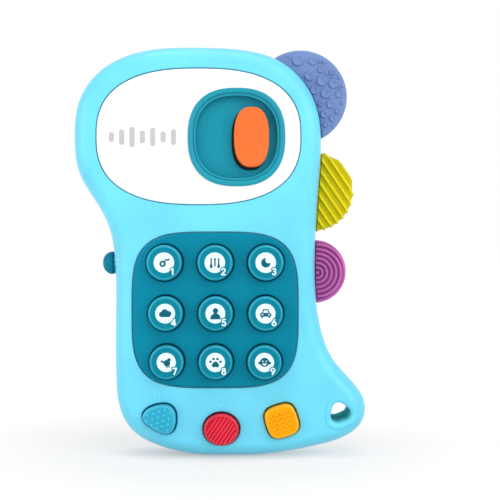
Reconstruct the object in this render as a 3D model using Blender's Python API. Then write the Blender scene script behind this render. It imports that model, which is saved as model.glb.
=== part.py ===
"""Toy cell phone: a two-shell plastic case with keys, buttons, a sliding knob and soft teething discs.

The phone stands upright. +Z runs along its length, its face looks towards -Y, and the origin is at the
middle of its base. Lengths below are in millimetres and become metres when a mesh is made.
"""
import math

import bmesh
import bpy
import numpy as np

MM = 0.001

# case
PARTING = 2.0          # y of the plane where the two shells meet
HALF_DEPTH = 13.0      # each shell's depth from that plane
SEAM = 0.15            # half the gap between the shells
GAP = 0.3              # clearance between neighbouring pieces
WALL = 2.0
STRAIGHT = 5.0         # depth of the upright part of each side wall
EDGE_INSET = 5.5       # how far the rounded edge draws in before the face
FRONT = PARTING - HALF_DEPTH
BACK = PARTING + HALF_DEPTH
OUTLINE_STEPS = 60
OUTLINE = [
    (-8.0, 150.0), (-31.8, 147.8), (-44.4, 141.2), (-51.7, 130.8), (-53.6, 116.5), (-51.6, 103.2),
    (-46.2, 93.9), (-41.2, 84.6), (-38.8, 72.5), (-38.4, 52.0), (-38.3, 28.0), (-36.6, 16.3),
    (-32.1, 8.9), (-24.4, 4.1), (-11.8, 0.7), (6.0, -0.25), (22.0, 1.0), (36.6, 3.7),
    (46.6, 7.1), (52.5, 12.6), (53.2, 20.0), (48.4, 27.3), (41.5, 35.6), (37.0, 47.6),
    (35.1, 62.0), (35.2, 80.0), (36.5, 101.0), (37.3, 116.0), (35.4, 128.8), (30.3, 138.2),
    (21.1, 145.6), (7.0, 149.3),
]

# white head panel, a superellipse: centre x and z, half width, half height, exponent
PANEL = (-7.62, 116.66, 37.0, 24.6, 2.55)
PANEL_FACE = FRONT - 0.1
PANEL_BACK = -9.9
POCKET_GAP = 0.25      # round a panel in its pocket
POCKET_FLOOR = -9.6
LEDGE_FRONT = -10.0
LEDGE_BACK = -8.4
WINDOW = (6.2, 116.4, 14.8, 14.95, 2.45)
BEZEL_BRIM = 2.9
BEZEL_FACE = -12.15
BEZEL_EDGE = -11.4
BEZEL_SLEEVE = 1.4     # wall of the sleeve behind the brim
KNOB = (11.65, 116.3, 6.35, 11.0, 2.5)
KNOB_FACE = -13.6
KNOB_TRAVEL = 11.0
NECK_INSET = 1.1       # undercut below the knob's head
SKIRT_GROW = 0.2
SKIRT_SHIFT = (-0.75, -0.65)
SKIRT_FACE = -9.7
PLATE_FACE = -8.1
PLATE_THICK = 1.2
PLATE_MARGIN = 1.0

# keypad
KEYPAD = (-1.58, 53.65, 29.85, 28.0, 3.8)
KEYPAD_FACE = -11.8
KEY_FACE = -15.4
KEY_GAP = 0.4
# for each row of keys: its z, the x of its middle key, the spacing and the radius of the keys
KEY_ROWS = [(70.8, -1.5, 18.3, 6.45), (52.5, -1.3, 18.05, 6.3), (34.95, -1.3, 17.65, 6.2)]
FLANGE_RADIUS = 7.6    # of a key, behind its panel
FLANGE_FRONT = -8.1
FLANGE_BACK = -7.3
PLUNGER_RADIUS = 3.0
PLUNGER_END = -5.8

# buttons below the keypad
BUTTON_FACE = -14.4
BUTTON_BACK = -7.9
BUTTON_BEVEL = 0.9
BUTTON_GAP = 0.45
DOTS_AT = (-20.5, 14.75)
DOTS_SHAPE = [
    (-7.3, 0.4), (-5.6, 3.0), (-2.7, 4.3), (0.3, 4.75), (2.9, 4.05), (4.4, 1.9),
    (4.7, -1.1), (3.9, -4.3), (2.3, -5.7), (0.2, -5.7), (-3.3, -4.0), (-6.4, -1.7),
]
STRIPES_AT = (0.7, 10.5)
STRIPES = (*STRIPES_AT, 6.35, 5.7, 2.0)
ZIGZAG_AT = (22.6, 13.5)
ZIGZAG = (*ZIGZAG_AT, 5.75, 5.75, 3.2)
ZIGZAG_TURN = math.radians(18)
EAR_WIDTH = 6.0
EAR_THICK = 0.7
BUTTON_EARS = {"button_dots": 7.0, "button_stripes": 7.9, "button_zigzag": 7.8}

# soft discs: centre x and z, radius
DISC_FRONT = -0.2
DISC_BACK = 4.2
DISC_REACH = 10.5
DISCS = {
    "teether_bubbles": (29.9, 132.5, 17.35),
    "teether_ridges": (34.8, 97.2, 15.0),
    "teether_rings": (35.2, 67.4, 11.7),
}
PEGS = {
    "teether_bubbles": (28.2, 130.5),
    "teether_ridges": (29.6, 97.4),
    "teether_rings": (28.6, 67.6),
}

# lanyard hole in the tail
LANYARD_AT = (43.9, 16.1)
LANYARD_RADIUS = 3.66
LANYARD_LOBE = 0.1
LANYARD_TURN = math.radians(-9)
COLLAR_RADIUS = 5.7
COLLAR_HEIGHT = 0.4

# off / low / high switch on the left side
SWITCH_Z = 70.6
SWITCH_TRAVEL = 2.0
SWITCH_RADIUS = 4.3
SWITCH_BASE = -38.5
SWITCH_BARREL = 1.7    # length of the straight part below the dome
SWITCH_DOME = 3.6
RECESS_FLOOR = -38.2
RECESS_GAP = 0.4

# inside
BOARD_FRONT = -4.0
BOARD_BACK = -2.6
BOARD = [(-28.0, 84.0), (28.5, 84.0), (28.5, 12.0), (22.0, 6.5), (-16.0, 6.0), (-28.0, 14.0)]
CASE_SCREWS = [(-44.0, 128.0), (8.0, 142.0), (-36.0, 88.0), (-31.5, 22.0), (34.0, 26.0)]
BOARD_SCREWS = [(-25.4, 81.5), (25.2, 81.5)]
BOSS_RADIUS = 2.9      # of a case screw's boss in the front shell
BOSS_ROOT = -9.3
BOARD_BOSS_RADIUS = 2.4
WELL_RADIUS = 3.0      # of the hole in the rear shell that a case screw sits in
WELL_WALL = 1.2
SCREW_SEAT = 6.8
RETAINER_SCREWS = [(-22.0, 130.0), (-22.0, 102.0)]
SPEAKER_AT = (-8.0, 116.0)
BAY = (-14.1, 12.1, 22.3, 75.7)     # low and high x, low and high z
BAY_FRONT = 0.6
BAY_WALL = 1.2
CELL_X = (-6.9, 4.9)
CELL_Y = 7.55
CELL_RADIUS = 5.2
DOOR = (-15.5, 13.5, 20.5, 86.5)    # low and high x, low and high z
DOOR_CORNER = 4.0
DOOR_BACK = 13.3
DOOR_SCREW = (-1.0, 82.0)

CYAN = (0.19, 0.81, 0.93)
WHITE = (0.90, 0.90, 0.90)
TEAL = (0.012, 0.24, 0.36)
STEEL = (0.60, 0.60, 0.58)


# ---------------------------------------------------------------- outlines

def smooth_loop(points, count):
    """Evenly spaced points along a periodic cubic spline through the given points."""
    p = np.array(points, float)
    n = len(p)
    h = np.linalg.norm(np.roll(p, -1, axis=0) - p, axis=1)
    rise = (np.roll(p, -1, axis=0) - p) / h[:, None]
    system = np.zeros((n, n))
    for i in range(n):
        system[i, i - 1] += h[i - 1]
        system[i, i] += 2 * (h[i - 1] + h[i])
        system[i, (i + 1) % n] += h[i]
    bend = np.linalg.solve(system, 6 * (rise - np.roll(rise, 1, axis=0)))
    dense = []
    for i in range(n):
        j = (i + 1) % n
        t = np.linspace(0, h[i], 24, endpoint=False)[:, None]
        u = h[i] - t
        dense.append(
            bend[i] * u**3 / (6 * h[i]) + bend[j] * t**3 / (6 * h[i])
            + (p[i] / h[i] - bend[i] * h[i] / 6) * u
            + (p[j] / h[i] - bend[j] * h[i] / 6) * t
        )
    return even(np.vstack(dense), count)


def even(loop, count):
    """The closed loop again, as count points spaced evenly along it."""
    closed = np.vstack([loop, loop[:1]])
    along = np.concatenate([[0], np.cumsum(np.linalg.norm(np.diff(closed, axis=0), axis=1))])
    at = np.linspace(0, along[-1], count, endpoint=False)
    return np.column_stack([np.interp(at, along, closed[:, k]) for k in (0, 1)])


def inset(loop, distance):
    """The closed loop moved inwards by a distance, or outwards if it is negative."""
    run = np.roll(loop, -1, axis=0) - np.roll(loop, 1, axis=0)
    run /= np.linalg.norm(run, axis=1)[:, None]
    x, z = loop.T
    area = np.sum(x * np.roll(z, -1) - z * np.roll(x, -1))
    inward = np.column_stack([-run[:, 1], run[:, 0]]) * math.copysign(1, area)
    return loop + inward * distance


def superellipse(shape, grow=0.0, steps=36, turn=0.0):
    """A superellipse from (centre x, centre z, half width, half height, exponent)."""
    x, z, a, b, power = shape
    t = np.linspace(0, 2 * math.pi, 8 * steps, endpoint=False)
    c, s = np.cos(t), np.sin(t)
    px = (a + grow) * np.sign(c) * np.abs(c) ** (2 / power)
    pz = (b + grow) * np.sign(s) * np.abs(s) ** (2 / power)
    loop = np.column_stack([
        x + px * math.cos(turn) - pz * math.sin(turn),
        z + px * math.sin(turn) + pz * math.cos(turn),
    ])
    return even(loop, steps)


def circle(x, z, radius, steps=16):
    t = np.linspace(0, 2 * math.pi, steps, endpoint=False)
    return np.column_stack([x + radius * np.cos(t), z + radius * np.sin(t)])


def lobed(at, radius, steps=18):
    """The lanyard hole's rounded triangle."""
    t = np.linspace(0, 2 * math.pi, steps, endpoint=False)
    r = radius * (1 + LANYARD_LOBE * np.cos(3 * (t - LANYARD_TURN)))
    return np.column_stack([at[0] + r * np.cos(t), at[1] + r * np.sin(t)])


def rounded_box(x0, x1, z0, z1, radius, steps=3):
    loop = []
    corners = [(x1 - radius, z1 - radius), (x0 + radius, z1 - radius),
               (x0 + radius, z0 + radius), (x1 - radius, z0 + radius)]
    for k, (cx, cz) in enumerate(corners):
        for t in np.linspace(k * math.pi / 2, (k + 1) * math.pi / 2, steps + 1):
            loop.append((cx + radius * math.cos(t), cz + radius * math.sin(t)))
    return np.array(loop)


def case_outline():
    """The phone's side view, with a flat land to stand on."""
    loop = smooth_loop(OUTLINE, OUTLINE_STEPS)
    loop[:, 1] = np.maximum(loop[:, 1], 0.0)
    return loop


# ---------------------------------------------------------------- shapes: (points, faces)

def loft(rings, ring_closed=False):
    """Skin a list of (loop, y). The ends are capped, or joined to each other if ring_closed."""
    n = len(rings[0][0])
    points = [(x, y, z) for loop, y in rings for x, z in loop]
    faces = []
    bands = len(rings) if ring_closed else len(rings) - 1
    for k in range(bands):
        a, b = k * n, ((k + 1) % len(rings)) * n
        faces += [(a + i, a + (i + 1) % n, b + (i + 1) % n, b + i) for i in range(n)]
    if not ring_closed:
        faces += [tuple(range(n))[::-1], tuple(range(len(points) - n, len(points)))]
    return points, faces


def prism(loop, y0, y1):
    return loft([(loop, y0), (loop, y1)])


def plate(loop, face, back, edge):
    """A plate whose front edge is rounded off by edge."""
    return loft([(inset(loop, edge), face), (loop, face + edge), (loop, back)])


def box(x0, x1, y0, y1, z0, z1):
    return prism(np.array([(x0, z0), (x1, z0), (x1, z1), (x0, z1)]), y0, y1)


def turned(at, profile, axis="Y", steps=16, ring=False):
    """Turn a profile of (radius, distance along the axis) about an axis through the point at."""
    u, v, w = {"X": (1, 2, 0), "Y": (2, 0, 1), "Z": (0, 1, 2)}[axis]
    points, starts = [], []
    for radius, along in profile:
        starts.append(len(points))
        for k in range(steps if radius > 0 else 1):
            t = 2 * math.pi * k / steps
            p = list(at)
            p[u] += radius * math.cos(t)
            p[v] += radius * math.sin(t)
            p[w] += along
            points.append(tuple(p))
    faces = []
    last = len(profile) - (0 if ring else 1)
    for k in range(last):
        a, b = starts[k], starts[(k + 1) % len(profile)]
        tip_a, tip_b = profile[k][0] == 0, profile[(k + 1) % len(profile)][0] == 0
        for i in range(steps):
            j = (i + 1) % steps
            if tip_a:
                faces.append((a, b + j, b + i))
            elif tip_b:
                faces.append((a + i, a + j, b))
            else:
                faces.append((a + i, a + j, b + j, b + i))
    if not ring:
        if profile[0][0] > 0:
            faces.append(tuple(range(starts[0], starts[0] + steps))[::-1])
        if profile[-1][0] > 0:
            faces.append(tuple(range(starts[-1], starts[-1] + steps)))
    return points, faces


def rod(x, z, radius, y0, y1, steps=14):
    return turned((x, 0, z), [(radius, y0), (radius, y1)], steps=steps)


def together(shapes):
    points, faces = [], []
    for some_points, some_faces in shapes:
        start = len(points)
        points += some_points
        faces += [tuple(i + start for i in face) for face in some_faces]
    return points, faces


# ---------------------------------------------------------------- objects

def finish(name, colour, roughness=0.4, metallic=0.0):
    material = bpy.data.materials.new(name)
    material.use_nodes = True
    shader = material.node_tree.nodes["Principled BSDF"]
    shader.inputs["Base Color"].default_value = (*colour, 1)
    shader.inputs["Roughness"].default_value = roughness
    shader.inputs["Metallic"].default_value = metallic
    return material


def mesh_of(name, shape, origin):
    points, faces = shape
    mesh = bpy.data.meshes.new(name)
    moved = [tuple((p[k] - origin[k]) * MM for k in range(3)) for p in points]
    mesh.from_pydata(moved, [], faces)
    work = bmesh.new()
    work.from_mesh(mesh)
    bmesh.ops.recalc_face_normals(work, faces=work.faces)
    work.to_mesh(mesh)
    work.free()
    return mesh


def make(name, shape, material, origin=(0, 0, 0), smooth=40):
    """A named object from a shape, with its origin at a point of the object's frame."""
    thing = bpy.data.objects.new(name, mesh_of(name, shape, origin))
    thing.location = [c * MM for c in origin]
    bpy.context.scene.collection.objects.link(thing)
    thing.data.materials.append(material)
    thing.data.shade_smooth()
    thing.data.set_sharp_from_angle(angle=math.radians(smooth))
    return thing


def carve(thing, shape, operation):
    """Add or cut away a shape with a Boolean, and keep the result as the object's mesh."""
    tool = bpy.data.objects.new("tool", mesh_of("tool", shape, (0, 0, 0)))
    bpy.context.scene.collection.objects.link(tool)
    modifier = thing.modifiers.new("carve", "BOOLEAN")
    modifier.operation = operation
    modifier.object = tool
    bpy.context.view_layer.update()
    before = thing.data
    evaluated = thing.evaluated_get(bpy.context.evaluated_depsgraph_get())
    thing.data = bpy.data.meshes.new_from_object(evaluated)
    thing.modifiers.clear()
    bpy.data.meshes.remove(before)
    bpy.data.objects.remove(tool)
    thing.data.name = thing.name
    return thing


def add(thing, *shapes):
    for shape in shapes:
        carve(thing, shape, "UNION")
    return thing


def cut(thing, *shapes):
    for shape in shapes:
        carve(thing, shape, "DIFFERENCE")
    return thing


# ---------------------------------------------------------------- case

def shell_rings(side):
    """Rings of one shell: inner face, up to the parting plane, over the rim, out to the outer face."""
    outline = case_outline()
    angles = [0, 33, 60, 90]
    rings = []
    for wall in (WALL, 0.0):
        depth, draw = HALF_DEPTH - wall - STRAIGHT, EDGE_INSET - wall
        skin = [(inset(outline, wall), PARTING + side * SEAM)]
        for a in map(math.radians, angles):
            at = STRAIGHT + depth * math.sin(a)
            skin.append((inset(outline, wall + draw * (1 - math.cos(a))), PARTING + side * at))
        rings += skin[::-1] if wall else skin
    return rings


def lanyard_tube(side):
    """The tube round the lanyard hole, and its low collar, in one shell."""
    face = PARTING + side * (HALF_DEPTH + COLLAR_HEIGHT)
    wall = PARTING + side * (HALF_DEPTH - WALL / 2)
    collar = loft([(lobed(LANYARD_AT, COLLAR_RADIUS - 0.4), face),
                   (lobed(LANYARD_AT, COLLAR_RADIUS), face - side * 0.4),
                   (lobed(LANYARD_AT, COLLAR_RADIUS), wall)])
    tube = prism(lobed(LANYARD_AT, COLLAR_RADIUS - 0.5), PARTING + side * SEAM, wall - side * 0.4)
    return collar, tube


def disc_slots():
    return [rod(x, z, r + 0.3, DISC_FRONT - 0.3, DISC_BACK + 0.3, 32) for x, z, r in DISCS.values()]


def switch_slot():
    """A shallow recess that the switch knob runs in, and the slot through its floor."""
    reach = SWITCH_TRAVEL + 1.8
    side = SWITCH_RADIUS + RECESS_GAP
    run = side + SWITCH_TRAVEL
    recess = box(-44, RECESS_FLOOR, PARTING - side, PARTING + side, SWITCH_Z - run, SWITCH_Z + run)
    slot = box(-40, -34, PARTING - 1.6, PARTING + 1.6, SWITCH_Z - reach, SWITCH_Z + reach)
    return recess, slot


def dots_outline(grow=0.0):
    return inset(smooth_loop(DOTS_SHAPE, 18), -grow) + np.array(DOTS_AT)


def stripes_outline(grow=0.0):
    return superellipse(STRIPES, grow, 18)


def zigzag_outline(grow=0.0):
    return superellipse(ZIGZAG, grow, 20, ZIGZAG_TURN)


def button_outlines(grow=0.0):
    return [dots_outline(grow), stripes_outline(grow), zigzag_outline(grow)]


def front_shell(material):
    shell = make("front_shell", loft(shell_rings(-1)), material)
    for shape, ledge_outside, ledge_inside in ((PANEL, 1.8, 2.6), (KEYPAD, 1.6, 0.9)):
        add(shell, prism(superellipse(shape, ledge_outside), LEDGE_FRONT, LEDGE_BACK))
        cut(shell, prism(superellipse(shape, POCKET_GAP), -13, POCKET_FLOOR))
        cut(shell, prism(superellipse(shape, -ledge_inside), -13, -7))
    add(shell, together([rod(x, z, BOSS_RADIUS, BOSS_ROOT, PARTING + 0.7) for x, z in CASE_SCREWS]))
    add(shell, together([rod(x, z, BOARD_BOSS_RADIUS, BOSS_ROOT, BOARD_FRONT - GAP)
                         for x, z in BOARD_SCREWS]))
    cut(shell, together([rod(x, z, 1.25, -6, PARTING + 2, 8) for x, z in CASE_SCREWS]))
    cut(shell, together([rod(x, z, 1.2, -8, BOARD_FRONT, 8) for x, z in BOARD_SCREWS]))
    cut(shell, together([prism(loop, -15, -6) for loop in button_outlines(BUTTON_GAP)]))
    cut(shell, *disc_slots(), *switch_slot())
    add(shell, *lanyard_tube(-1))
    cut(shell, prism(lobed(LANYARD_AT, LANYARD_RADIUS), -16, 6))
    return shell


def speaker_grille():
    """Upright slots that fill a circle behind the speaker."""
    slots = []
    for k in range(-3, 4):
        x = SPEAKER_AT[0] + 3.0 * k
        reach = math.sqrt(11.0**2 - (3.0 * k) ** 2)
        slots.append(prism(rounded_box(x - 0.8, x + 0.8, SPEAKER_AT[1] - reach,
                                       SPEAKER_AT[1] + reach, 0.79, 1), 12, 16))
    return together(slots)


def battery_bay():
    """The bay's outside, and the room to cut out of it."""
    x0, x1, z0, z1 = BAY
    wall = BAY_WALL
    return (box(x0, x1, BAY_FRONT, 13.5, z0, z1),
            box(x0 + wall, x1 - wall, BAY_FRONT + wall, 16, z0 + wall, z1 - wall))


def rear_shell(material):
    x0, x1, z0, z1 = DOOR
    bay, room = battery_bay()
    shell = make("rear_shell", loft(shell_rings(1)), material)
    add(shell, prism(rounded_box(x0 - 2, x1 + 2, z0 - 2, z1 + 2, 6), 11.6, 13.5))
    add(shell, bay)
    add(shell, together([rod(x, z, WELL_RADIUS + WELL_WALL, PARTING + 1, 13.5) for x, z in CASE_SCREWS]))
    add(shell, rod(*DOOR_SCREW, 3.4, 6, 12.5))
    opening = rounded_box(x0 - GAP, x1 + GAP, z0 - GAP, z1 + GAP, DOOR_CORNER + GAP)
    cut(shell, prism(opening, DOOR_BACK - GAP, 16))
    cut(shell, room)
    cut(shell, together([rod(x, z, WELL_RADIUS, SCREW_SEAT - GAP, 16) for x, z in CASE_SCREWS]))
    cut(shell, together([rod(x, z, 1.3, 2, 7, 8) for x, z in CASE_SCREWS]))
    cut(shell, rod(*DOOR_SCREW, 1.7, 7, 14, 10))
    cut(shell, speaker_grille())
    cut(shell, *disc_slots(), *switch_slot())
    add(shell, *lanyard_tube(1))
    cut(shell, prism(lobed(LANYARD_AT, LANYARD_RADIUS), 0, 20))
    add(shell, together([rod(x, z, 1.3, 0.5, 13.5, 8) for x, z in PEGS.values()]))
    return shell


def teether(name, material):
    x, z, r = DISCS[name]
    disc = make(name, turned((x, 0, z), [
        (r - 0.8, DISC_FRONT), (r, DISC_FRONT + 0.8), (r, DISC_BACK - 0.8), (r - 0.8, DISC_BACK)],
        steps=32), material)
    cut(disc, prism(inset(case_outline(), DISC_REACH), -2, 6))
    cut(disc, rod(*PEGS[name], 1.7, -2, 6, 10))
    return disc


# ---------------------------------------------------------------- head: window and sliding knob

def screen_panel(material):
    panel = make("screen_panel", plate(superellipse(PANEL), PANEL_FACE, PANEL_BACK, 0.4), material)
    cut(panel, prism(superellipse(WINDOW, BEZEL_SLEEVE + GAP, 28), -13, -8))
    add(panel, together([rod(x, z, 2.5, -10.4, -6.9, 12) for x, z in RETAINER_SCREWS]))
    cut(panel, together([rod(x, z, 1.2, -9.5, -6, 8) for x, z in RETAINER_SCREWS]))
    return panel


def slider_bezel(material):
    """A raised frame round the window, and a sleeve behind it that reaches down to the sliding plate."""
    section = [(BEZEL_BRIM, BEZEL_EDGE), (BEZEL_BRIM - 0.6, BEZEL_FACE), (0.7, BEZEL_FACE),
               (0.0, BEZEL_EDGE), (0.0, LEDGE_BACK), (BEZEL_SLEEVE, LEDGE_BACK),
               (BEZEL_SLEEVE, BEZEL_EDGE)]
    rings = [(superellipse(WINDOW, grow, 28), y) for grow, y in section]
    return make("slider_bezel", loft(rings, ring_closed=True), material)


def plate_outline():
    """Wide enough to close the window wherever the knob stands."""
    loop = superellipse(WINDOW, PLATE_MARGIN, 28)
    loop[loop[:, 0] > WINDOW[0] + 0.01, 0] += KNOB_TRAVEL
    return loop


def eye_slider(knob_material, plate_material, clip_material, skirt_material):
    origin = (KNOB[0], 0, KNOB[1])
    section = [(-0.7, KNOB_FACE), (0.0, KNOB_FACE + 0.6), (0.0, -10.4),
               (-NECK_INSET, -10.0), (-NECK_INSET, PLATE_FACE - GAP)]
    knob = make("eye_slider", loft([(superellipse(KNOB, grow, 22), y) for grow, y in section]),
                knob_material)
    add(knob, rod(KNOB[0], KNOB[1], 2.0, -9, -5.6, 10))
    floor = make("slider_plate", prism(plate_outline(), PLATE_FACE, PLATE_FACE + PLATE_THICK),
                 plate_material)
    cut(floor, rod(KNOB[0], KNOB[1], 2.4, -10, -5, 12))
    clip = make("slider_clip", turned((KNOB[0], 0, KNOB[1]), [
        (2.3, -6.6), (4.2, -6.6), (4.2, -5.8), (2.3, -5.8)], steps=14, ring=True), clip_material)
    for thing in (knob, floor, clip, slider_skirt(skirt_material)):
        move_origin(thing, origin)


def slider_skirt(material):
    """A thin black ring round the knob's neck, set off towards the lower left."""
    outer = superellipse(KNOB, SKIRT_GROW, 22) + np.array(SKIRT_SHIFT)
    inner = superellipse(KNOB, GAP - NECK_INSET, 22)
    back = PLATE_FACE - GAP
    ring = [(outer, SKIRT_FACE), (outer, back), (inner, back), (inner, SKIRT_FACE)]
    return make("slider_skirt", loft(ring, ring_closed=True), material)


def move_origin(thing, origin):
    """Put an object's origin at a point without moving its surface."""
    shift = [c * MM for c in origin]
    for vertex in thing.data.vertices:
        vertex.co = [vertex.co[k] - shift[k] for k in range(3)]
    thing.location = shift


def slider_retainer(material):
    frame = make("slider_retainer", prism(rounded_box(-26, 28, 98, 134, 4, 3), -6.6, -5.2), material)
    cut(frame, prism(rounded_box(-16, 22, 103, 129.5, 3, 3), -8, -4))
    cut(frame, together([rod(x, z, 1.25, -8, -4, 8) for x, z in RETAINER_SCREWS]))
    return frame


def detent_spring(material):
    """A thin steel strip, bowed up under the sliding plate."""
    x = np.linspace(3.5, 19.5, 9)
    bow = 98.4 + 1.5 * np.cos((x - 11.5) / 8.0 * math.pi / 2) ** 2
    loop = np.vstack([np.column_stack([x, bow]), np.column_stack([x, bow - 0.3])[::-1]])
    return make("detent_spring", prism(loop, -7.9, -7.1), material)


# ---------------------------------------------------------------- keypad and buttons

def key_places():
    """The x, z and radius of each key, row by row from the top."""
    return [(middle + step * column, z, radius)
            for z, middle, step, radius in KEY_ROWS for column in (-1, 0, 1)]


def keypad_panel(material):
    panel = make("keypad_panel", plate(superellipse(KEYPAD), KEYPAD_FACE, PANEL_BACK, 0.7), material)
    add(panel, prism(superellipse(KEYPAD, -1.25), -10.5, LEDGE_BACK))
    cut(panel, together([rod(x, z, radius + KEY_GAP, -13, -8, 16) for x, z, radius in key_places()]))
    return panel


def keys(material):
    bevel = 0.6
    stem = [(FLANGE_RADIUS, FLANGE_FRONT), (FLANGE_RADIUS, FLANGE_BACK),
            (PLUNGER_RADIUS, FLANGE_BACK), (PLUNGER_RADIUS, PLUNGER_END)]
    for number, (x, z, radius) in enumerate(key_places(), 1):
        cap = [(radius - bevel, KEY_FACE), (radius, KEY_FACE + bevel), (radius, FLANGE_FRONT)]
        make(f"key_{number}", turned((x, 0, z), cap + stem, steps=16), material, (x, 0, z))


def button(name, outline, at, material):
    """A capped button with two ears that hold it behind the shell."""
    x, z = at
    ear = BUTTON_EARS[name]
    cap = make(name, plate(outline, BUTTON_FACE, BUTTON_BACK, BUTTON_BEVEL), material)
    half = EAR_WIDTH / 2
    add(cap, box(x - ear, x + ear, BUTTON_BACK - EAR_THICK, BUTTON_BACK + 0.1, z - half, z + half))
    move_origin(cap, (x, 0, z))
    return cap


def membrane(material):
    sheet = make("key_membrane", prism(rounded_box(-27.5, 25, 26, 78.6, 4, 3), -5.3, -4.3), material)
    return cut(sheet, together([rod(x, z, 3.8, -6, -4, 8) for x, z, _ in key_places()]))


# ---------------------------------------------------------------- electronics

def main_board(material):
    board = make("main_board", prism(np.array(BOARD), BOARD_FRONT, BOARD_BACK), material)
    return cut(board, together([rod(x, z, 1.25, -5, -1, 8) for x, z in BOARD_SCREWS]))


def tact_switches(material):
    for number, (x, z) in enumerate((DOTS_AT, STRIPES_AT, ZIGZAG_AT), 1):
        switch = make(f"tact_switch_{number}", box(x - 3, x + 3, -5.6, -4.3, z - 3, z + 3), material)
        add(switch, rod(x, z, 1.7, -6.2, -5.0, 10))


def screw(name, x, z, head, seat, tip, material, head_height=1.2, shank=0.9):
    """A screw driven from behind: its head sits on the plane y = seat and its point is at y = tip."""
    return make(name, turned((x, 0, z), [
        (shank * 0.5, tip), (shank, tip + 1.0), (shank, seat), (head, seat),
        (head, seat + head_height)], steps=9), material)


def case_screws(material):
    for number, (x, z) in enumerate(CASE_SCREWS, 1):
        screw(f"case_screw_{number}", x, z, 2.6, SCREW_SEAT, -4, material, 1.5, 0.95)


def small_screws(material):
    for number, (x, z) in enumerate(BOARD_SCREWS, 1):
        screw(f"board_screw_{number}", x, z, 2.0, BOARD_BACK + 0.3, -7, material)
    for number, (x, z) in enumerate(RETAINER_SCREWS, 1):
        screw(f"retainer_screw_{number}", x, z, 2.0, -4.9, -8.6, material)


def power_switch(material):
    body = make("power_switch", box(-33.6, -28.8, -1, 5, SWITCH_Z - 6, SWITCH_Z + 6), material)
    return cut(body, box(-35, -31.6, PARTING - 1.4, PARTING + 1.4, SWITCH_Z - 5, SWITCH_Z + 5))


def switch_knob(material):
    at = (SWITCH_BASE, PARTING, SWITCH_Z)
    tip = -SWITCH_BARREL - SWITCH_DOME
    dome = [(SWITCH_RADIUS * math.cos(a), -SWITCH_BARREL - SWITCH_DOME * math.sin(a))
            for a in map(math.radians, (0, 22, 45, 68))]
    profile = [(SWITCH_RADIUS, 0), *dome, (0, tip)]
    knob = make("switch_knob", turned(at, profile, "X", 16), material)
    add(knob, box(SWITCH_BASE - 0.4, -35.4, PARTING - 1.2, PARTING + 1.2, SWITCH_Z - 1.5, SWITCH_Z + 1.5))
    add(knob, box(-35.9, -34.9, PARTING - 3, PARTING + 3, SWITCH_Z - 7, SWITCH_Z + 7))
    add(knob, turned((0, PARTING, SWITCH_Z), [(1.0, -35.2), (1.0, -32.2)], "X", 8))
    move_origin(knob, at)
    return knob


def speaker(steel, paper):
    x, z = SPEAKER_AT
    at = (x, 0, z)
    make("speaker_basket", turned(at, [
        (9.6, 7.5), (13.3, 7.5), (13.3, 11.6), (14.0, 11.6), (14.0, 12.6), (12.3, 12.6),
        (12.3, 8.3), (9.6, 8.3)], steps=18, ring=True), steel)
    make("speaker_magnet", turned(at, [(8.6, 3.6), (9.0, 4.0), (9.0, 8.0), (8.6, 8.3)], steps=16), steel)
    make("speaker_cone", turned(at, [
        (0, 8.9), (3.6, 8.9), (11.9, 11.4), (11.9, 11.9), (3.8, 9.6), (0, 10.6)], steps=16), paper)


def cells(material):
    up = [(CELL_RADIUS - 0.4, 27.2), (CELL_RADIUS, 27.6), (CELL_RADIUS, 70.0), (CELL_RADIUS - 0.7, 70.5),
          (1.9, 70.5), (1.8, 71.7)]
    total = up[0][1] + up[-1][1]
    down = [(r, total - z - 0.6) for r, z in up[::-1]]
    make("battery_1", turned((CELL_X[0], CELL_Y, 0), up, "Z", 16), material)
    make("battery_2", turned((CELL_X[1], CELL_Y, 0), down, "Z", 16), material)


def coil(x, y, z0, z1, wide, narrow, turns=2.5, wire=0.3):
    """A conical coil spring along Z, as a tube with four sides."""
    rings, per_turn = [], 8
    count = int(turns * per_turn) + 1
    for k in range(count):
        f = k / (count - 1)
        t = 2 * math.pi * turns * f
        radius = wide + (narrow - wide) * f
        centre = np.array([x + radius * math.cos(t), y + radius * math.sin(t), z0 + (z1 - z0) * f])
        out = np.array([math.cos(t), math.sin(t), 0])
        rings.append([tuple(centre + wire * (math.cos(a) * out + np.array([0, 0, math.sin(a)])))
                      for a in np.linspace(0, 2 * math.pi, 4, endpoint=False)])
    points = [p for ring in rings for p in ring]
    faces = [(4 * k + i, 4 * k + (i + 1) % 4, 4 * k + 4 + (i + 1) % 4, 4 * k + 4 + i)
             for k in range(count - 1) for i in range(4)]
    faces += [(3, 2, 1, 0), tuple(range(4 * count - 4, 4 * count))]
    return points, faces


def contacts(steel):
    make("battery_spring_1", coil(CELL_X[0], CELL_Y, 24.8, 26.5, 3.6, 2.2), steel)
    make("battery_spring_2", coil(CELL_X[1], CELL_Y, 73.2, 71.5, 3.6, 2.2), steel)
    y0, y1 = CELL_Y - 4, CELL_Y + 4
    bridge = make("contact_bridge", box(-12, 10, y0, y1, 23.8, 24.2), steel)
    add(bridge, turned((CELL_X[1], CELL_Y, 0), [(2.2, 24.0), (1.6, 25.9)], "Z", 12))
    plus = make("contact_plus", box(CELL_X[0] - 4, CELL_X[0] + 4, y0, y1, 73.8, 74.2), steel)
    add(plus, turned((CELL_X[0], CELL_Y, 0), [(1.6, 72.0), (2.2, 74.0)], "Z", 12))
    make("contact_minus", box(CELL_X[1] - 4, CELL_X[1] + 4, y0, y1, 73.8, 74.2), steel)


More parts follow.
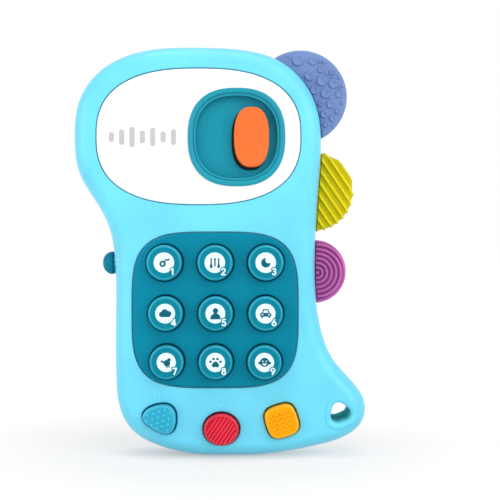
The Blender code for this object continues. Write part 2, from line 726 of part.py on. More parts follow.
def battery_door(door_material, steel):
    x0, x1, z0, z1 = DOOR
    hinge = ((x0 + x1) / 2, BACK, z0)
    leaf = prism(rounded_box(x0, x1, z0, z1, DOOR_CORNER), DOOR_BACK, BACK)
    door = make("battery_door", leaf, door_material)
    cut(door, rod(*DOOR_SCREW, 3.1, 14.0, 16, 16), rod(*DOOR_SCREW, 1.5, 12, 16, 10))
    move_origin(door, hinge)
    x, z = DOOR_SCREW
    make("door_screw", turned((x, 0, z), [
        (0.6, 9.5), (1.2, 10.3), (1.2, 14.25), (2.7, 14.25), (2.7, 14.6), (2.2, 14.9)], steps=14),
        steel, (x, 0, z))


def lead(name, points, material, radius=0.5):
    """A thin insulated wire through a few points."""
    p = np.array(points, float)
    path = []
    for k in range(len(p) - 1):
        a, b = p[max(k - 1, 0)], p[min(k + 2, len(p) - 1)]
        for t in np.linspace(0, 1, 3, endpoint=False):
            path.append(0.5 * (2 * p[k] + (p[k + 1] - a) * t + (2 * a - 5 * p[k] + 4 * p[k + 1] - b) * t * t
                               + (3 * p[k] - a - 3 * p[k + 1] + b) * t**3))
    path.append(p[-1])
    curve = bpy.data.curves.new(name, "CURVE")
    curve.dimensions = "3D"
    curve.bevel_depth = radius * MM
    curve.bevel_resolution = 1
    curve.use_fill_caps = True
    spline = curve.splines.new("POLY")
    spline.points.add(len(path) - 1)
    for point, place in zip(spline.points, path):
        point.co = (*(c * MM for c in place), 1)
    wire = bpy.data.objects.new(name, curve)
    wire.data.materials.append(material)
    bpy.context.scene.collection.objects.link(wire)


def wiring():
    red = finish("wire_red", (0.6, 0.02, 0.02))
    black = finish("wire_black", (0.02, 0.02, 0.02))
    lead("battery_lead_red", [(-7, 5, 76.9), (-7.2, 2.5, 78.4), (-7.6, 0, 78.2), (-8, -1.4, 75)], red)
    lead("battery_lead_black", [(5, 5, 76.9), (5.2, 2.5, 78.4), (5.6, 0, 78.2), (6, -1.4, 75)], black)
    for number, (x, colour) in enumerate(((-13.5, red), (-9.5, black)), 1):
        route = [(x, -1.5, 79), (x, -0.6, 86), (x, 3.5, 93), (x + 0.5, 8.2, 98), (x + 0.5, 9.8, 100.6)]
        lead(f"speaker_lead_{number}", route, colour)


# ---------------------------------------------------------------- the phone

def build():
    for thing in list(bpy.data.objects):
        bpy.data.objects.remove(thing)
    cyan = finish("shell_cyan", CYAN, 0.35)
    teal = finish("teal_plastic", TEAL, 0.35)
    steel = finish("steel", STEEL, 0.3, 1.0)
    black = finish("black_plastic", (0.02, 0.02, 0.02))
    front_shell(cyan)
    rear_shell(cyan)
    screen_panel(finish("panel_white", WHITE, 0.3))
    slider_bezel(teal)
    plate_teal = finish("plate_teal", (0.03, 0.3, 0.42))
    eye_slider(finish("knob_orange", (1.0, 0.2, 0.06)), plate_teal, teal, black)
    slider_retainer(finish("inner_white", (0.8, 0.8, 0.78)))
    detent_spring(steel)
    keypad_panel(teal)
    keys(finish("key_teal", (0.01, 0.24, 0.34), 0.3))
    button("button_dots", dots_outline(), DOTS_AT, finish("button_blue", (0.04, 0.42, 0.62)))
    button("button_stripes", stripes_outline(), STRIPES_AT, finish("button_red", (0.62, 0.02, 0.04)))
    button("button_zigzag", zigzag_outline(), ZIGZAG_AT, finish("button_yellow", (0.95, 0.36, 0.01)))
    teether("teether_bubbles", finish("silicone_blue", (0.2, 0.28, 0.54), 0.5))
    teether("teether_ridges", finish("silicone_lime", (0.67, 0.6, 0.01), 0.5))
    teether("teether_rings", finish("silicone_purple", (0.36, 0.1, 0.31), 0.5))
    membrane(finish("membrane_grey", (0.5, 0.5, 0.5), 0.6))
    main_board(finish("board_green", (0.02, 0.2, 0.07)))
    tact_switches(black)
    make("chip_blob", turned((20, 0, 58), [(4.0, -2.3), (3.2, -1.5), (0, -1.1)], steps=16), black)
    make("capacitor", turned((20, 0, 34), [(2.5, -2.3), (2.5, 3.2), (2.2, 3.5)], steps=14), black)
    power_switch(steel)
    switch_knob(finish("switch_teal", (0.04, 0.36, 0.5)))
    speaker(steel, finish("speaker_paper", (0.03, 0.03, 0.03), 0.8))
    cells(finish("battery_wrap", (0.05, 0.2, 0.1), 0.3))
    contacts(steel)
    battery_door(cyan, steel)
    case_screws(steel)
    small_screws(steel)
    wiring()


build()
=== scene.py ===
"""The looks of a toy cell phone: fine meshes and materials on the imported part, a camera and soft lights.

Lengths are in millimetres in the part's frame, with +Z up and the phone's face towards -Y. They become
metres when a mesh is made.
"""

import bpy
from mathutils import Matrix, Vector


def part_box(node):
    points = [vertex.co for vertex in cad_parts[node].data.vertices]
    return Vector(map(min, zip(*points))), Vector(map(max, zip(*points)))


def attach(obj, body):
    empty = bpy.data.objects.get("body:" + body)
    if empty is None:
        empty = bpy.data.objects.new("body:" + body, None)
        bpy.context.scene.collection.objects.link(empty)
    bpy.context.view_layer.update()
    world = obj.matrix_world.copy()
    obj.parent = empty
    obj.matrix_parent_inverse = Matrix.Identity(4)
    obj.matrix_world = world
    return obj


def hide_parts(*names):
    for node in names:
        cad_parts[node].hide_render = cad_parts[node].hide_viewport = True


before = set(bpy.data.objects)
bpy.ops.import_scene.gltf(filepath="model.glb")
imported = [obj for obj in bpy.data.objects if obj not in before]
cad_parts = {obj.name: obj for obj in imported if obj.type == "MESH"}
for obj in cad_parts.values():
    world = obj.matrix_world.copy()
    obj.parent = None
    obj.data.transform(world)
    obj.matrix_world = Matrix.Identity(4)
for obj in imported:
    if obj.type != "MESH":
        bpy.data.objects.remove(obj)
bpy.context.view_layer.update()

import math

import bmesh
import bpy
import numpy as np
from mathutils import Vector

MM = 0.001

# case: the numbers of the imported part
PARTING = 2.0          # y of the plane where the two shells meet
HALF_DEPTH = 13.0      # each shell's depth from that plane
SEAM = 0.15            # half the gap between the shells
WALL = 2.0
STRAIGHT = 5.0         # depth of the upright part of each side wall
EDGE_INSET = 5.5       # how far the rounded edge draws in before the face
FRONT = PARTING - HALF_DEPTH
BACK = PARTING + HALF_DEPTH
OUTLINE_STEPS = 300
OUTLINE = [
    (-8.0, 150.0), (-31.8, 147.8), (-44.4, 141.2), (-51.7, 130.8), (-53.6, 116.5), (-51.6, 103.2),
    (-46.2, 93.9), (-41.2, 84.6), (-38.8, 72.5), (-38.4, 52.0), (-38.3, 28.0), (-36.6, 16.3),
    (-32.1, 8.9), (-24.4, 4.1), (-11.8, 0.7), (6.0, -0.25), (22.0, 1.0), (36.6, 3.7),
    (46.6, 7.1), (52.5, 12.6), (53.2, 20.0), (48.4, 27.3), (41.5, 35.6), (37.0, 47.6),
    (35.1, 62.0), (35.2, 80.0), (36.5, 101.0), (37.3, 116.0), (35.4, 128.8), (30.3, 138.2),
    (21.1, 145.6), (7.0, 149.3),
]
AMBIENT = 0.5          # light from the white surroundings on a dull surface
LIP = 0.5              # rounding where an opening breaks through a face
GAP = 0.3              # between neighbouring pieces inside

# head
PANEL_BACK = -9.9
PANEL_GAP = 0.4        # round a panel in its pocket
POCKET_FLOOR = -9.6
LEDGE_FRONT = -10.0    # of the rim that carries a panel
LEDGE_BACK = -8.4
BEZEL_BRIM = 2.9
BEZEL_EDGE = -11.4
BEZEL_FOOT = -11.2     # where the brim rests on the white plate
BEZEL_SLEEVE = 1.4     # wall of the sleeve behind the brim
KNOB_TRAVEL = 11.0
NECK_INSET = 1.1       # undercut below the knob's head
# the black skirt under the knob, grown and shifted to the lower left, is a painted shadow of the knob
SHADOW_SKIRT_GROW = 0.2
SHADOW_SKIRT_SHIFT = (-0.75, -0.65)

# keypad and buttons
KEY_RADII = (6.45, 6.3, 6.2)        # by row, from the top
KEY_SPOTS = (3.68, 3.56, 3.45)      # the white discs on them
KEY_GAP = 0.4
KEY_EDGE = 0.9         # rounding of a key's rim
DIGIT_SHIFT = (3.0, -3.15)          # from a key's middle to its digit
FLANGE_RADIUS = 7.6    # of a key, behind its panel
FLANGE_FRONT = -8.1
FLANGE_BACK = -7.3
PLUNGER_RADIUS = 3.0
PLUNGER_END = -5.8
BUTTON_BACK = -7.9
BUTTON_GAP = 0.45
BUTTON_EDGE = 1.0      # rounding of a button's edge
BUTTON_CROWN = 0.35    # how far its middle stands above that edge
EAR_WIDTH = 6.0
EAR_THICK = 0.7
DOTS_AT = (-20.5, 14.75)
DOTS_SHAPE = [
    (-7.3, 0.4), (-5.6, 3.0), (-2.7, 4.3), (0.3, 4.75), (2.9, 4.05), (4.4, 1.9),
    (4.7, -1.1), (3.9, -4.3), (2.3, -5.7), (0.2, -5.7), (-3.3, -4.0), (-6.4, -1.7),
]
STRIPES_AT = (0.7, 10.5)
STRIPES = (*STRIPES_AT, 6.35, 5.7, 2.0)
STRIPES_LEAN = math.radians(56)
STRIPES_PITCH = 1.2
ZIGZAG_AT = (22.6, 13.5)
ZIGZAG = (*ZIGZAG_AT, 5.75, 5.75, 3.2)
ZIGZAG_TURN = math.radians(18)

# soft discs
DISC_REACH = 10.5      # how far a disc reaches in behind the case's outline
DISC_EDGE = 0.8        # rounding of a disc's rim
DISC_NECK = 0.9        # half the thickness left where a groove runs along the case
RIDGE_PITCH = 2.71
RIDGE_LEAN = math.radians(55.9)
RIDGE_SHIFT = -0.75
RING_PITCH = 1.71
RING_MIDDLE = (0.9, -0.5)           # from the disc's centre
PEGS = {
    "teether_bubbles": (28.2, 130.5),
    "teether_ridges": (29.6, 97.4),
    "teether_rings": (28.6, 67.6),
}
BUBBLES = [            # x and z from the disc's centre, radius
    (-1.0, 13.6, 2.2), (4.5, 13.3, 1.6), (7.3, 13.1, 0.7), (9.0, 13.1, 0.9), (7.6, 10.2, 1.4),
    (11.8, 9.2, 1.2), (3.2, 7.7, 1.8), (8.0, 5.9, 2.1), (12.3, 4.8, 1.8), (14.7, 7.3, 0.9),
    (15.8, 4.1, 0.7), (5.1, 2.4, 1.7), (9.3, 1.2, 1.9), (14.5, 0.9, 1.5), (7.5, -2.6, 1.1),
    (11.3, -2.8, 1.7), (15.5, -2.3, 0.8), (13.9, -5.3, 1.2), (8.8, -6.6, 1.5), (12.0, -7.9, 1.4),
    (9.5, -10.4, 1.2), (12.1, -11.0, 0.7), (8.3, -13.1, 0.8), (-4.5, 14.9, 0.5), (14.7, 3.2, 0.6),
    (11.6, 7.4, 0.5), (13.2, 8.7, 0.5), (5.6, 4.9, 0.5), (9.9, 8.4, 0.6), (10.9, 0.0, 0.5),
]

# lanyard hole and power switch
LANYARD_AT = (43.9, 16.1)
LANYARD_RADIUS = 3.66
COLLAR_RADIUS = 5.7
COLLAR_HEIGHT = 0.4
SWITCH_TRAVEL = 2.0
SWITCH_RADIUS = 4.3
SWITCH_BASE = -38.5
RECESS_FLOOR = -38.2
RECESS_GAP = 0.4

# back
CASE_SCREWS = [(-44.0, 128.0), (8.0, 142.0), (-36.0, 88.0), (-31.5, 22.0), (34.0, 26.0)]
BOARD_SCREWS = [(-25.4, 81.5), (25.2, 81.5)]
BOSS_RADIUS = 2.9      # of a case screw's boss in the front shell
BOARD_BOSS_RADIUS = 2.4
BOSS_ROOT = -9.3
WELL_RADIUS = 3.0      # of the hole in the rear shell that a case screw sits in
WELL_WALL = 1.2
SCREW_SEAT = 6.8       # the face that a case screw's head bears on
BOARD_REST = -4.3
DOOR_SCREW = (-1.0, 82.0)
DOOR_CORNER = 4.0
DOOR_INSIDE = 13.3
SHELL_INSIDE = 13.5    # just past the rear shell's inner face
SPEAKER_AT = (-8.0, 116.0)
BAY = (-14.1, 12.1, 22.3, 75.7)     # battery bay: low and high x, low and high z
BAY_WALL = 1.2
BAY_FRONT = 0.6


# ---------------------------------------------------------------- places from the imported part

def span(node):
    """A CAD node's low and high corners in millimetres."""
    low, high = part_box(node)
    return np.array(low) / MM, np.array(high) / MM


def middle(node):
    low, high = span(node)
    return (low[0] + high[0]) / 2, (low[2] + high[2]) / 2


def ellipse_of(node, power, less=0.0):
    """The superellipse round a CAD node, drawn in by less: centre x, z, half sizes, exponent."""
    low, high = span(node)
    half = (high - low) / 2 - less
    return (*middle(node), half[0], half[2], power)


PANEL = ellipse_of("screen_panel", 2.55)
WINDOW = ellipse_of("slider_bezel", 2.45, BEZEL_BRIM)
KNOB = ellipse_of("eye_slider", 2.5)
KEYPAD = ellipse_of("keypad_panel", 3.8)
PANEL_FACE = span("screen_panel")[0][1]
BEZEL_FACE = span("slider_bezel")[0][1]
KNOB_FACE = span("eye_slider")[0][1]
PLATE_FACE = span("slider_plate")[0][1]
KEYPAD_FACE = span("keypad_panel")[0][1]
KEY_FACE = span("key_1")[0][1]
SHADOW_SKIRT_FACE = span("slider_skirt")[0][1]
BUTTON_FACE = span("button_dots")[0][1]
SWITCH_Z = middle("switch_knob")[1]


# ---------------------------------------------------------------- outlines

def smooth_loop(points, count):
    """Evenly spaced points along a periodic cubic spline through the given points."""
    p = np.array(points, float)
    n = len(p)
    h = np.linalg.norm(np.roll(p, -1, axis=0) - p, axis=1)
    rise = (np.roll(p, -1, axis=0) - p) / h[:, None]
    system = np.zeros((n, n))
    for i in range(n):
        system[i, i - 1] += h[i - 1]
        system[i, i] += 2 * (h[i - 1] + h[i])
        system[i, (i + 1) % n] += h[i]
    bend = np.linalg.solve(system, 6 * (rise - np.roll(rise, 1, axis=0)))
    dense = []
    for i in range(n):
        j = (i + 1) % n
        t = np.linspace(0, h[i], 40, endpoint=False)[:, None]
        u = h[i] - t
        dense.append(
            bend[i] * u**3 / (6 * h[i]) + bend[j] * t**3 / (6 * h[i])
            + (p[i] / h[i] - bend[i] * h[i] / 6) * u
            + (p[j] / h[i] - bend[j] * h[i] / 6) * t
        )
    return even(np.vstack(dense), count)


def even(loop, count):
    """The closed loop again, as count points spaced evenly along it."""
    closed = np.vstack([loop, loop[:1]])
    along = np.concatenate([[0], np.cumsum(np.linalg.norm(np.diff(closed, axis=0), axis=1))])
    at = np.linspace(0, along[-1], count, endpoint=False)
    return np.column_stack([np.interp(at, along, closed[:, k]) for k in (0, 1)])


def inset(loop, distance):
    """The closed loop moved inwards by a distance, or outwards if it is negative."""
    run = np.roll(loop, -1, axis=0) - np.roll(loop, 1, axis=0)
    run /= np.linalg.norm(run, axis=1)[:, None]
    x, z = loop.T
    area = np.sum(x * np.roll(z, -1) - z * np.roll(x, -1))
    inward = np.column_stack([-run[:, 1], run[:, 0]]) * math.copysign(1, area)
    return loop + inward * distance


def superellipse(shape, grow=0.0, steps=144, turn=0.0):
    """A superellipse from (centre x, centre z, half width, half height, exponent)."""
    x, z, a, b, power = shape
    t = np.linspace(0, 2 * math.pi, 8 * steps, endpoint=False)
    c, s = np.cos(t), np.sin(t)
    px = (a + grow) * np.sign(c) * np.abs(c) ** (2 / power)
    pz = (b + grow) * np.sign(s) * np.abs(s) ** (2 / power)
    loop = np.column_stack([
        x + px * math.cos(turn) - pz * math.sin(turn),
        z + px * math.sin(turn) + pz * math.cos(turn),
    ])
    return even(loop, steps)


def circle(x, z, radius, steps=48):
    t = np.linspace(0, 2 * math.pi, steps, endpoint=False)
    return np.column_stack([x + radius * np.cos(t), z + radius * np.sin(t)])


def lobed(radius, steps=96):
    """The lanyard hole's rounded triangle."""
    t = np.linspace(0, 2 * math.pi, steps, endpoint=False)
    r = radius * (1 + 0.1 * np.cos(3 * (t + math.radians(9))))
    return np.column_stack([LANYARD_AT[0] + r * np.cos(t), LANYARD_AT[1] + r * np.sin(t)])


def rounded_box(x0, x1, z0, z1, radius, steps=8):
    loop = []
    corners = [(x1 - radius, z1 - radius), (x0 + radius, z1 - radius),
               (x0 + radius, z0 + radius), (x1 - radius, z0 + radius)]
    for k, (cx, cz) in enumerate(corners):
        for t in np.linspace(k * math.pi / 2, (k + 1) * math.pi / 2, steps + 1):
            loop.append((cx + radius * math.cos(t), cz + radius * math.sin(t)))
    return np.array(loop)


def axes(turn):
    """Unit vectors in a direction and square to it."""
    return np.array((math.cos(turn), math.sin(turn))), np.array((-math.sin(turn), math.cos(turn)))


def capsule(a, b, width, steps=9):
    """A stroke from a to b with round ends."""
    a, b = np.array(a, float), np.array(b, float)
    lean = math.atan2(b[1] - a[1], b[0] - a[0])
    turn = np.linspace(math.pi / 2, 3 * math.pi / 2, steps) + lean
    end = width / 2 * np.column_stack([np.cos(turn), np.sin(turn)])
    return np.vstack([a + end, b - end])


def ribbon(points, width):
    """A band of one width along a bent line, with mitred corners."""
    p = np.array(points, float)
    run = np.diff(p, axis=0)
    run /= np.linalg.norm(run, axis=1)[:, None]
    sides = np.column_stack([-run[:, 1], run[:, 0]])
    first, last = np.vstack([sides[:1], sides]), np.vstack([sides, sides[-1:]])
    mitre = (first + last) / (1 + np.sum(first * last, axis=1))[:, None]
    return np.vstack([p + mitre * width / 2, (p - mitre * width / 2)[::-1]])


def case_outline(steps=OUTLINE_STEPS):
    """The phone's side view, with a flat land to stand on."""
    loop = smooth_loop(OUTLINE, steps)
    loop[:, 1] = np.maximum(loop[:, 1], 0.0)
    return loop


def dots_outline(grow=0.0, steps=160):
    return inset(smooth_loop(DOTS_SHAPE, steps), -grow) + np.array(DOTS_AT)


def stripes_outline(grow=0.0, steps=160):
    return superellipse(STRIPES, grow, steps)


def zigzag_outline(grow=0.0, steps=160):
    return superellipse(ZIGZAG, grow, steps, ZIGZAG_TURN)


# ---------------------------------------------------------------- shapes: (points, faces)

def skin(rings, ring_closed=False):
    """Join rings of points by faces, and fill both ends unless the last ring meets the first."""
    n = len(rings[0])
    points = [p for ring in rings for p in ring]
    faces = []
    bands = len(rings) if ring_closed else len(rings) - 1
    for k in range(bands):
        a, b = k * n, ((k + 1) % len(rings)) * n
        faces += [(a + i, a + (i + 1) % n, b + (i + 1) % n, b + i) for i in range(n)]
    if not ring_closed:
        faces += [tuple(range(n))[::-1], tuple(range(len(points) - n, len(points)))]
    return points, faces


def loft(rings, ring_closed=False):
    """Skin a list of (loop, y), where y is one depth or one for each point of the loop."""
    return skin([[(x, depth, z) for (x, z), depth in zip(loop, np.broadcast_to(y, len(loop)))]
                 for loop, y in rings], ring_closed)


def prism(loop, y0, y1):
    return loft([(loop, y0), (loop, y1)])


def box(x0, x1, y0, y1, z0, z1):
    return prism(np.array([(x0, z0), (x1, z0), (x1, z1), (x0, z1)]), y0, y1)


def rod(x, z, radius, y0, y1, steps=32):
    return prism(circle(x, z, radius, steps), y0, y1)


def rounding(loop, face, radius, side, steps=7):
    """Rings from a side wall over a rounded edge to a face at y = face. side is -1 for a front face."""
    turn = np.linspace(0, math.pi / 2, steps)
    return [(inset(loop, radius * (1 - math.cos(a))), face - side * radius * (1 - math.sin(a)))
            for a in turn]


def slab(loop, face, back, edge, side=-1):
    """A plate whose edge is rounded on the side of its face."""
    return loft([(loop, back), *rounding(loop, face, edge, side)])


def pocket(outline, face, floor, lip, side=-1):
    """A cutter from a face down to y = floor that leaves a rounded lip. outline(grow) gives its loop."""
    rings = [(outline(0.0), floor)]
    for a in np.linspace(0, math.radians(80), 6):
        grow = lip * (1 - math.cos(a))
        rings.append((outline(grow), face - side * lip * (1 - math.sin(a))))
    rings.append((outline(grow), face + side * 3))
    return loft(rings)


def turned(at, profile, axis="Y", steps=64):
    """Turn a profile of (radius, distance along the axis) about an axis through the point at."""
    u, v, w = {"X": (1, 2, 0), "Y": (2, 0, 1), "Z": (0, 1, 2)}[axis]
    points, starts = [], []
    for radius, along in profile:
        starts.append(len(points))
        for k in range(steps if radius > 0 else 1):
            t = 2 * math.pi * k / steps
            p = list(at)
            p[u] += radius * math.cos(t)
            p[v] += radius * math.sin(t)
            p[w] += along
            points.append(tuple(p))
    faces = []
    for k in range(len(profile) - 1):
        a, b = starts[k], starts[k + 1]
        for i in range(steps):
            j = (i + 1) % steps
            if profile[k][0] == 0:
                faces.append((a, b + j, b + i))
            elif profile[k + 1][0] == 0:
                faces.append((a + i, a + j, b))
            else:
                faces.append((a + i, a + j, b + j, b + i))
    if profile[0][0] > 0:
        faces.append(tuple(range(steps))[::-1])
    if profile[-1][0] > 0:
        faces.append(tuple(range(starts[-1], starts[-1] + steps)))
    return points, faces


def fillet(radius, along, size, side, steps=6):
    """Profile points of a rounded edge, from the side of a turned piece to its face at along."""
    turn = np.linspace(0, math.pi / 2, steps)
    return [(radius - size * (1 - math.cos(a)), along - side * size * (1 - math.sin(a))) for a in turn]


def together(shapes):
    points, faces = [], []
    for some_points, some_faces in shapes:
        start = len(points)
        points += some_points
        faces += [tuple(i + start for i in face) for face in some_faces]
    return points, faces


def layers(loops, face, height):
    """Thin prisms standing on a face. Each is a hair taller than the last, so none share a surface."""
    hair = 0.002
    return together([prism(loop, face + 0.1, face - height - k * hair) for k, loop in enumerate(loops)])


def raised(loop, ground, height, edge):
    """A low rounded bump on a curved face, where ground(x, z) gives the face's depth."""
    rings = [(loop, ground(*loop.T) + 0.15)]
    for a in np.linspace(0, math.pi / 2, 5):
        ring = inset(loop, edge * (1 - math.cos(a)))
        rings.append((ring, ground(*ring.T) - height + edge * (1 - math.sin(a))))
    return loft(rings)


def relief(loop, face, side, height, centre, border=0.03):
    """Rings from a loop in to its centre, raised by height(x, z) away from the border."""
    centre = np.array(centre)
    rings = []
    for f in np.linspace(1, 0.01, 90):
        ring = centre + (loop - centre) * f
        rise = height(*(ring - centre).T) * np.clip((1 - border - f) / border + 1, 0, 1)
        rings.append((ring, face + side * rise))
    return rings


# ---------------------------------------------------------------- objects

def make(name, shape, material=None):
    points, faces = shape
    mesh = bpy.data.meshes.new(name)
    mesh.from_pydata([tuple(c * MM for c in p) for p in points], [], faces)
    work = bmesh.new()
    work.from_mesh(mesh)
    bmesh.ops.recalc_face_normals(work, faces=work.faces)
    work.to_mesh(mesh)
    work.free()
    if material:
        mesh.materials.append(material)
    thing = bpy.data.objects.new(name, mesh)
    bpy.context.scene.collection.objects.link(thing)
    return thing


def carve(thing, shape, operation):
    """Add or cut away a shape with a Boolean, and keep the result as the object's mesh."""
    tool = make("tool", shape)
    modifier = thing.modifiers.new("carve", "BOOLEAN")
    modifier.operation = operation
    modifier.object = tool
    bpy.context.view_layer.update()
    before = thing.data
    thing.data = bpy.data.meshes.new_from_object(thing.evaluated_get(bpy.context.evaluated_depsgraph_get()))
    thing.modifiers.clear()
    bpy.data.meshes.remove(before)
    bpy.data.meshes.remove(tool.data)


def add(thing, *shapes):
    for shape in shapes:
        carve(thing, shape, "UNION")


def cut(thing, *shapes):
    for shape in shapes:
        carve(thing, shape, "DIFFERENCE")


def paint(thing, material, chosen, steepest=1.1):
    """Give another material to the faces that chosen(x, y, z) picks and that don't face along Y."""
    thing.data.materials.append(material)
    for face in thing.data.polygons:
        if abs(face.normal.y) < steepest and chosen(*(face.center / MM)):
            face.material_index = 1


def place(thing, body, slot, *nodes, sharp=32):
    """Shade a finished piece, let it ride on its body and hide the CAD nodes it stands for."""
    thing.data.shade_smooth()
    thing.data.set_sharp_from_angle(angle=math.radians(sharp))
    weights = thing.modifiers.new("weights", "WEIGHTED_NORMAL")
    weights.keep_sharp = True
    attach(thing, body)
    if nodes:
        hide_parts(*nodes)


# ---------------------------------------------------------------- materials

def tint(code):
    """A linear colour from a hex code."""
    values = [int(code[i:i + 2], 16) / 255 for i in (0, 2, 4)]
    return [v / 12.92 if v <= 0.04045 else ((v + 0.055) / 1.055) ** 2.4 for v in values]


class Nodes:
    """The nodes of a material or a world, and short ways to wire procedural detail into its shader."""

    def __init__(self, owner, shader="Principled BSDF"):
        owner.use_nodes = True
        self.owner = owner
        self.tree = owner.node_tree
        self.shader = self.tree.nodes[shader]
        self.coords = self.node("TexCoord", {})["Object"]

    def link(self, value, socket):
        if isinstance(value, bpy.types.NodeSocket):
            self.tree.links.new(value, socket)
        else:
            socket.default_value = value

    def node(self, kind, sockets, **settings):
        """A new node with its settings and its input sockets, each linked or given a value."""
        node = self.tree.nodes.new("ShaderNode" + kind)
        for key, value in settings.items():
            setattr(node, key, value)
        for key, value in sockets.items():
            self.link(value, node.inputs[key])
        return node.outputs

    def noise(self, scale, detail=2.0, distortion=0.0, stretch=(1, 1, 1)):
        at = self.node("Mapping", {"Vector": self.coords, "Scale": stretch})["Vector"]
        return self.node("TexNoise", {"Vector": at, "Scale": scale, "Detail": detail,
                                      "Distortion": distortion})["Fac"]

    def math(self, operation, a, b=0.0):
        return self.node("Math", {0: a, 1: b}, operation=operation)["Value"]

    def remap(self, value, low, high, to_low, to_high):
        return self.node("MapRange", {"Value": value, "From Min": low, "From Max": high,
                                      "To Min": to_low, "To Max": to_high})["Result"]

    def reach(self, stretch):
        """The distance from the origin, with each axis stretched first."""
        wide = self.node("VectorMath", {0: self.coords, 1: stretch}, operation="MULTIPLY")["Vector"]
        return self.node("VectorMath", {0: wide}, operation="LENGTH")["Value"]

    def mix(self, factor, a, b):
        """Two colours mixed by a factor. The first may come from another node."""
        first = a if isinstance(a, bpy.types.NodeSocket) else (*a, 1)
        return self.node("Mix", {0: factor, 6: first, 7: (*b, 1)}, data_type="RGBA")[2]

    def bump(self, height, strength, distance):
        made = self.node("Bump", {"Height": height, "Strength": strength, "Distance": distance * MM})
        self.link(made["Normal"], self.shader.inputs["Normal"])

    def put(self, **sockets):
        for key, value in sockets.items():
            self.link(value, self.shader.inputs[key.replace("_", " ").title().replace("Ior", "IOR")])


def shaded(colour, gain):
    return [min(1.0, c * gain) for c in colour]


def surface(name, code, roughness, grain=0.12, mottle=0.05, scuffs=0.5, shine=0.1, **sockets):
    """A moulded surface: faint clouding, a fine grain, and hairline scuffs that catch the light."""
    n = Nodes(bpy.data.materials.new(name))
    colour = tint(code)
    cloud = n.remap(n.noise(55, 3), 0.35, 0.65, 0, 1)
    base = n.mix(cloud, shaded(colour, 1 - mottle), shaded(colour, 1 + mottle))
    line = n.remap(n.math("ABSOLUTE", n.math("SUBTRACT", n.noise(130, 1, 1.8), 0.5)), 0.0, 0.004, 1, 0)
    patch = n.remap(n.noise(38, 2), 0.52, 0.66, 0, 1)
    wear = n.math("MULTIPLY", n.math("MULTIPLY", line, patch), scuffs)
    fine = n.remap(n.noise(1100, 4), 0.3, 0.7, roughness - 0.05, roughness + 0.07)
    paler = [c + (1 - c) * 0.25 for c in colour]
    n.put(base_color=n.mix(n.math("MULTIPLY", wear, 0.35), base, paler))
    n.put(roughness=n.math("ADD", fine, n.math("MULTIPLY", wear, 0.2)), specular_ior_level=shine, **sockets)
    n.bump(n.noise(5200, 2), grain, 0.02)
    return n.owner


def steel():
    """Bright metal with fine drawn lines and dull spots."""
    n = Nodes(bpy.data.materials.new("drawn steel"))
    colour = tint("b9b9b4")
    drawn = n.noise(900, 3, 0, (1, 1, 0.08))
    n.put(base_color=n.mix(n.noise(240, 3), shaded(colour, 0.85), shaded(colour, 1.08)), metallic=1.0)
    n.put(roughness=n.remap(drawn, 0.3, 0.7, 0.22, 0.4))
    n.bump(drawn, 0.15, 0.02)
    return n.owner


def silicone(name, code):
    return surface(name, code, 0.5, grain=0.2, mottle=0.04, scuffs=0.25, shine=0.07, sheen_weight=0.08,
                   sheen_roughness=0.5)


def cell_wrap():
    """A battery's printed sleeve: dark, with a copper band towards its upper end."""
    n = Nodes(bpy.data.materials.new("cell wrap"))
    height = n.node("SeparateXYZ", {0: n.coords})["Z"]
    band = n.math("GREATER_THAN", n.math("SINE", n.math("MULTIPLY", height, 120.0)), 0.55)
    n.put(base_color=n.mix(band, tint("1f2a26"), tint("b98243")))
    n.put(roughness=n.remap(n.noise(700, 3), 0.3, 0.7, 0.24, 0.36), coat_weight=0.3)
    n.bump(n.noise(900, 2), 0.05, 0.02)
    return n.owner


def board_green():
    """Solder mask with faint copper tracks under it."""
    n = Nodes(bpy.data.materials.new("solder mask"))
    cells = n.node("TexVoronoi", {"Vector": n.coords, "Scale": 260}, distance="CHEBYCHEV", feature="F1")
    track = n.math("GREATER_THAN", cells["Distance"], 0.42)
    n.put(base_color=n.mix(track, tint("1b6a35"), tint("2c8a45")))
    n.put(roughness=n.remap(n.noise(600, 2), 0.3, 0.7, 0.3, 0.42))
    n.bump(track, 0.2, 0.03)
    return n.owner


SHELL = surface("moulded cyan", "61c6e0", 0.32, 0.06, scuffs=0.4, shine=0.34)
# the shell's cyan made lighter and greener, with no shine, for the lanyard hole's wall: painted light that
# lifts its shade
BORE_PAINTED_LIGHT = surface("cyan bore painted light", "86e2e8", 0.7, scuffs=0.0, shine=0.0)
# a paler copy of the shell cyan for the raised face marks: a painted highlight
MARK_HIGHLIGHT = surface("cyan marks painted highlight", "6cd0e5", 0.36, scuffs=0.2, shine=0.2)
WHITE = surface("gloss white panel", "ececec", 0.26, 0.05, 0.01, 0.25)
TEAL = surface("moulded teal", "027891", 0.4, shine=0.05)
BEZEL = surface("bezel teal", "1e899d", 0.34)
PLATE = surface("window plate teal", "12899f", 0.34)
ORANGE = surface("knob orange", "e3672f", 0.36)
KEY = surface("key teal", "02758a", 0.36, shine=0.05)
# a lighter, shinier copy of the key teal for the keys' rims: a painted highlight
KEY_RIM_HIGHLIGHT = surface("key rim painted highlight", "0a8aa2", 0.3, shine=0.35)
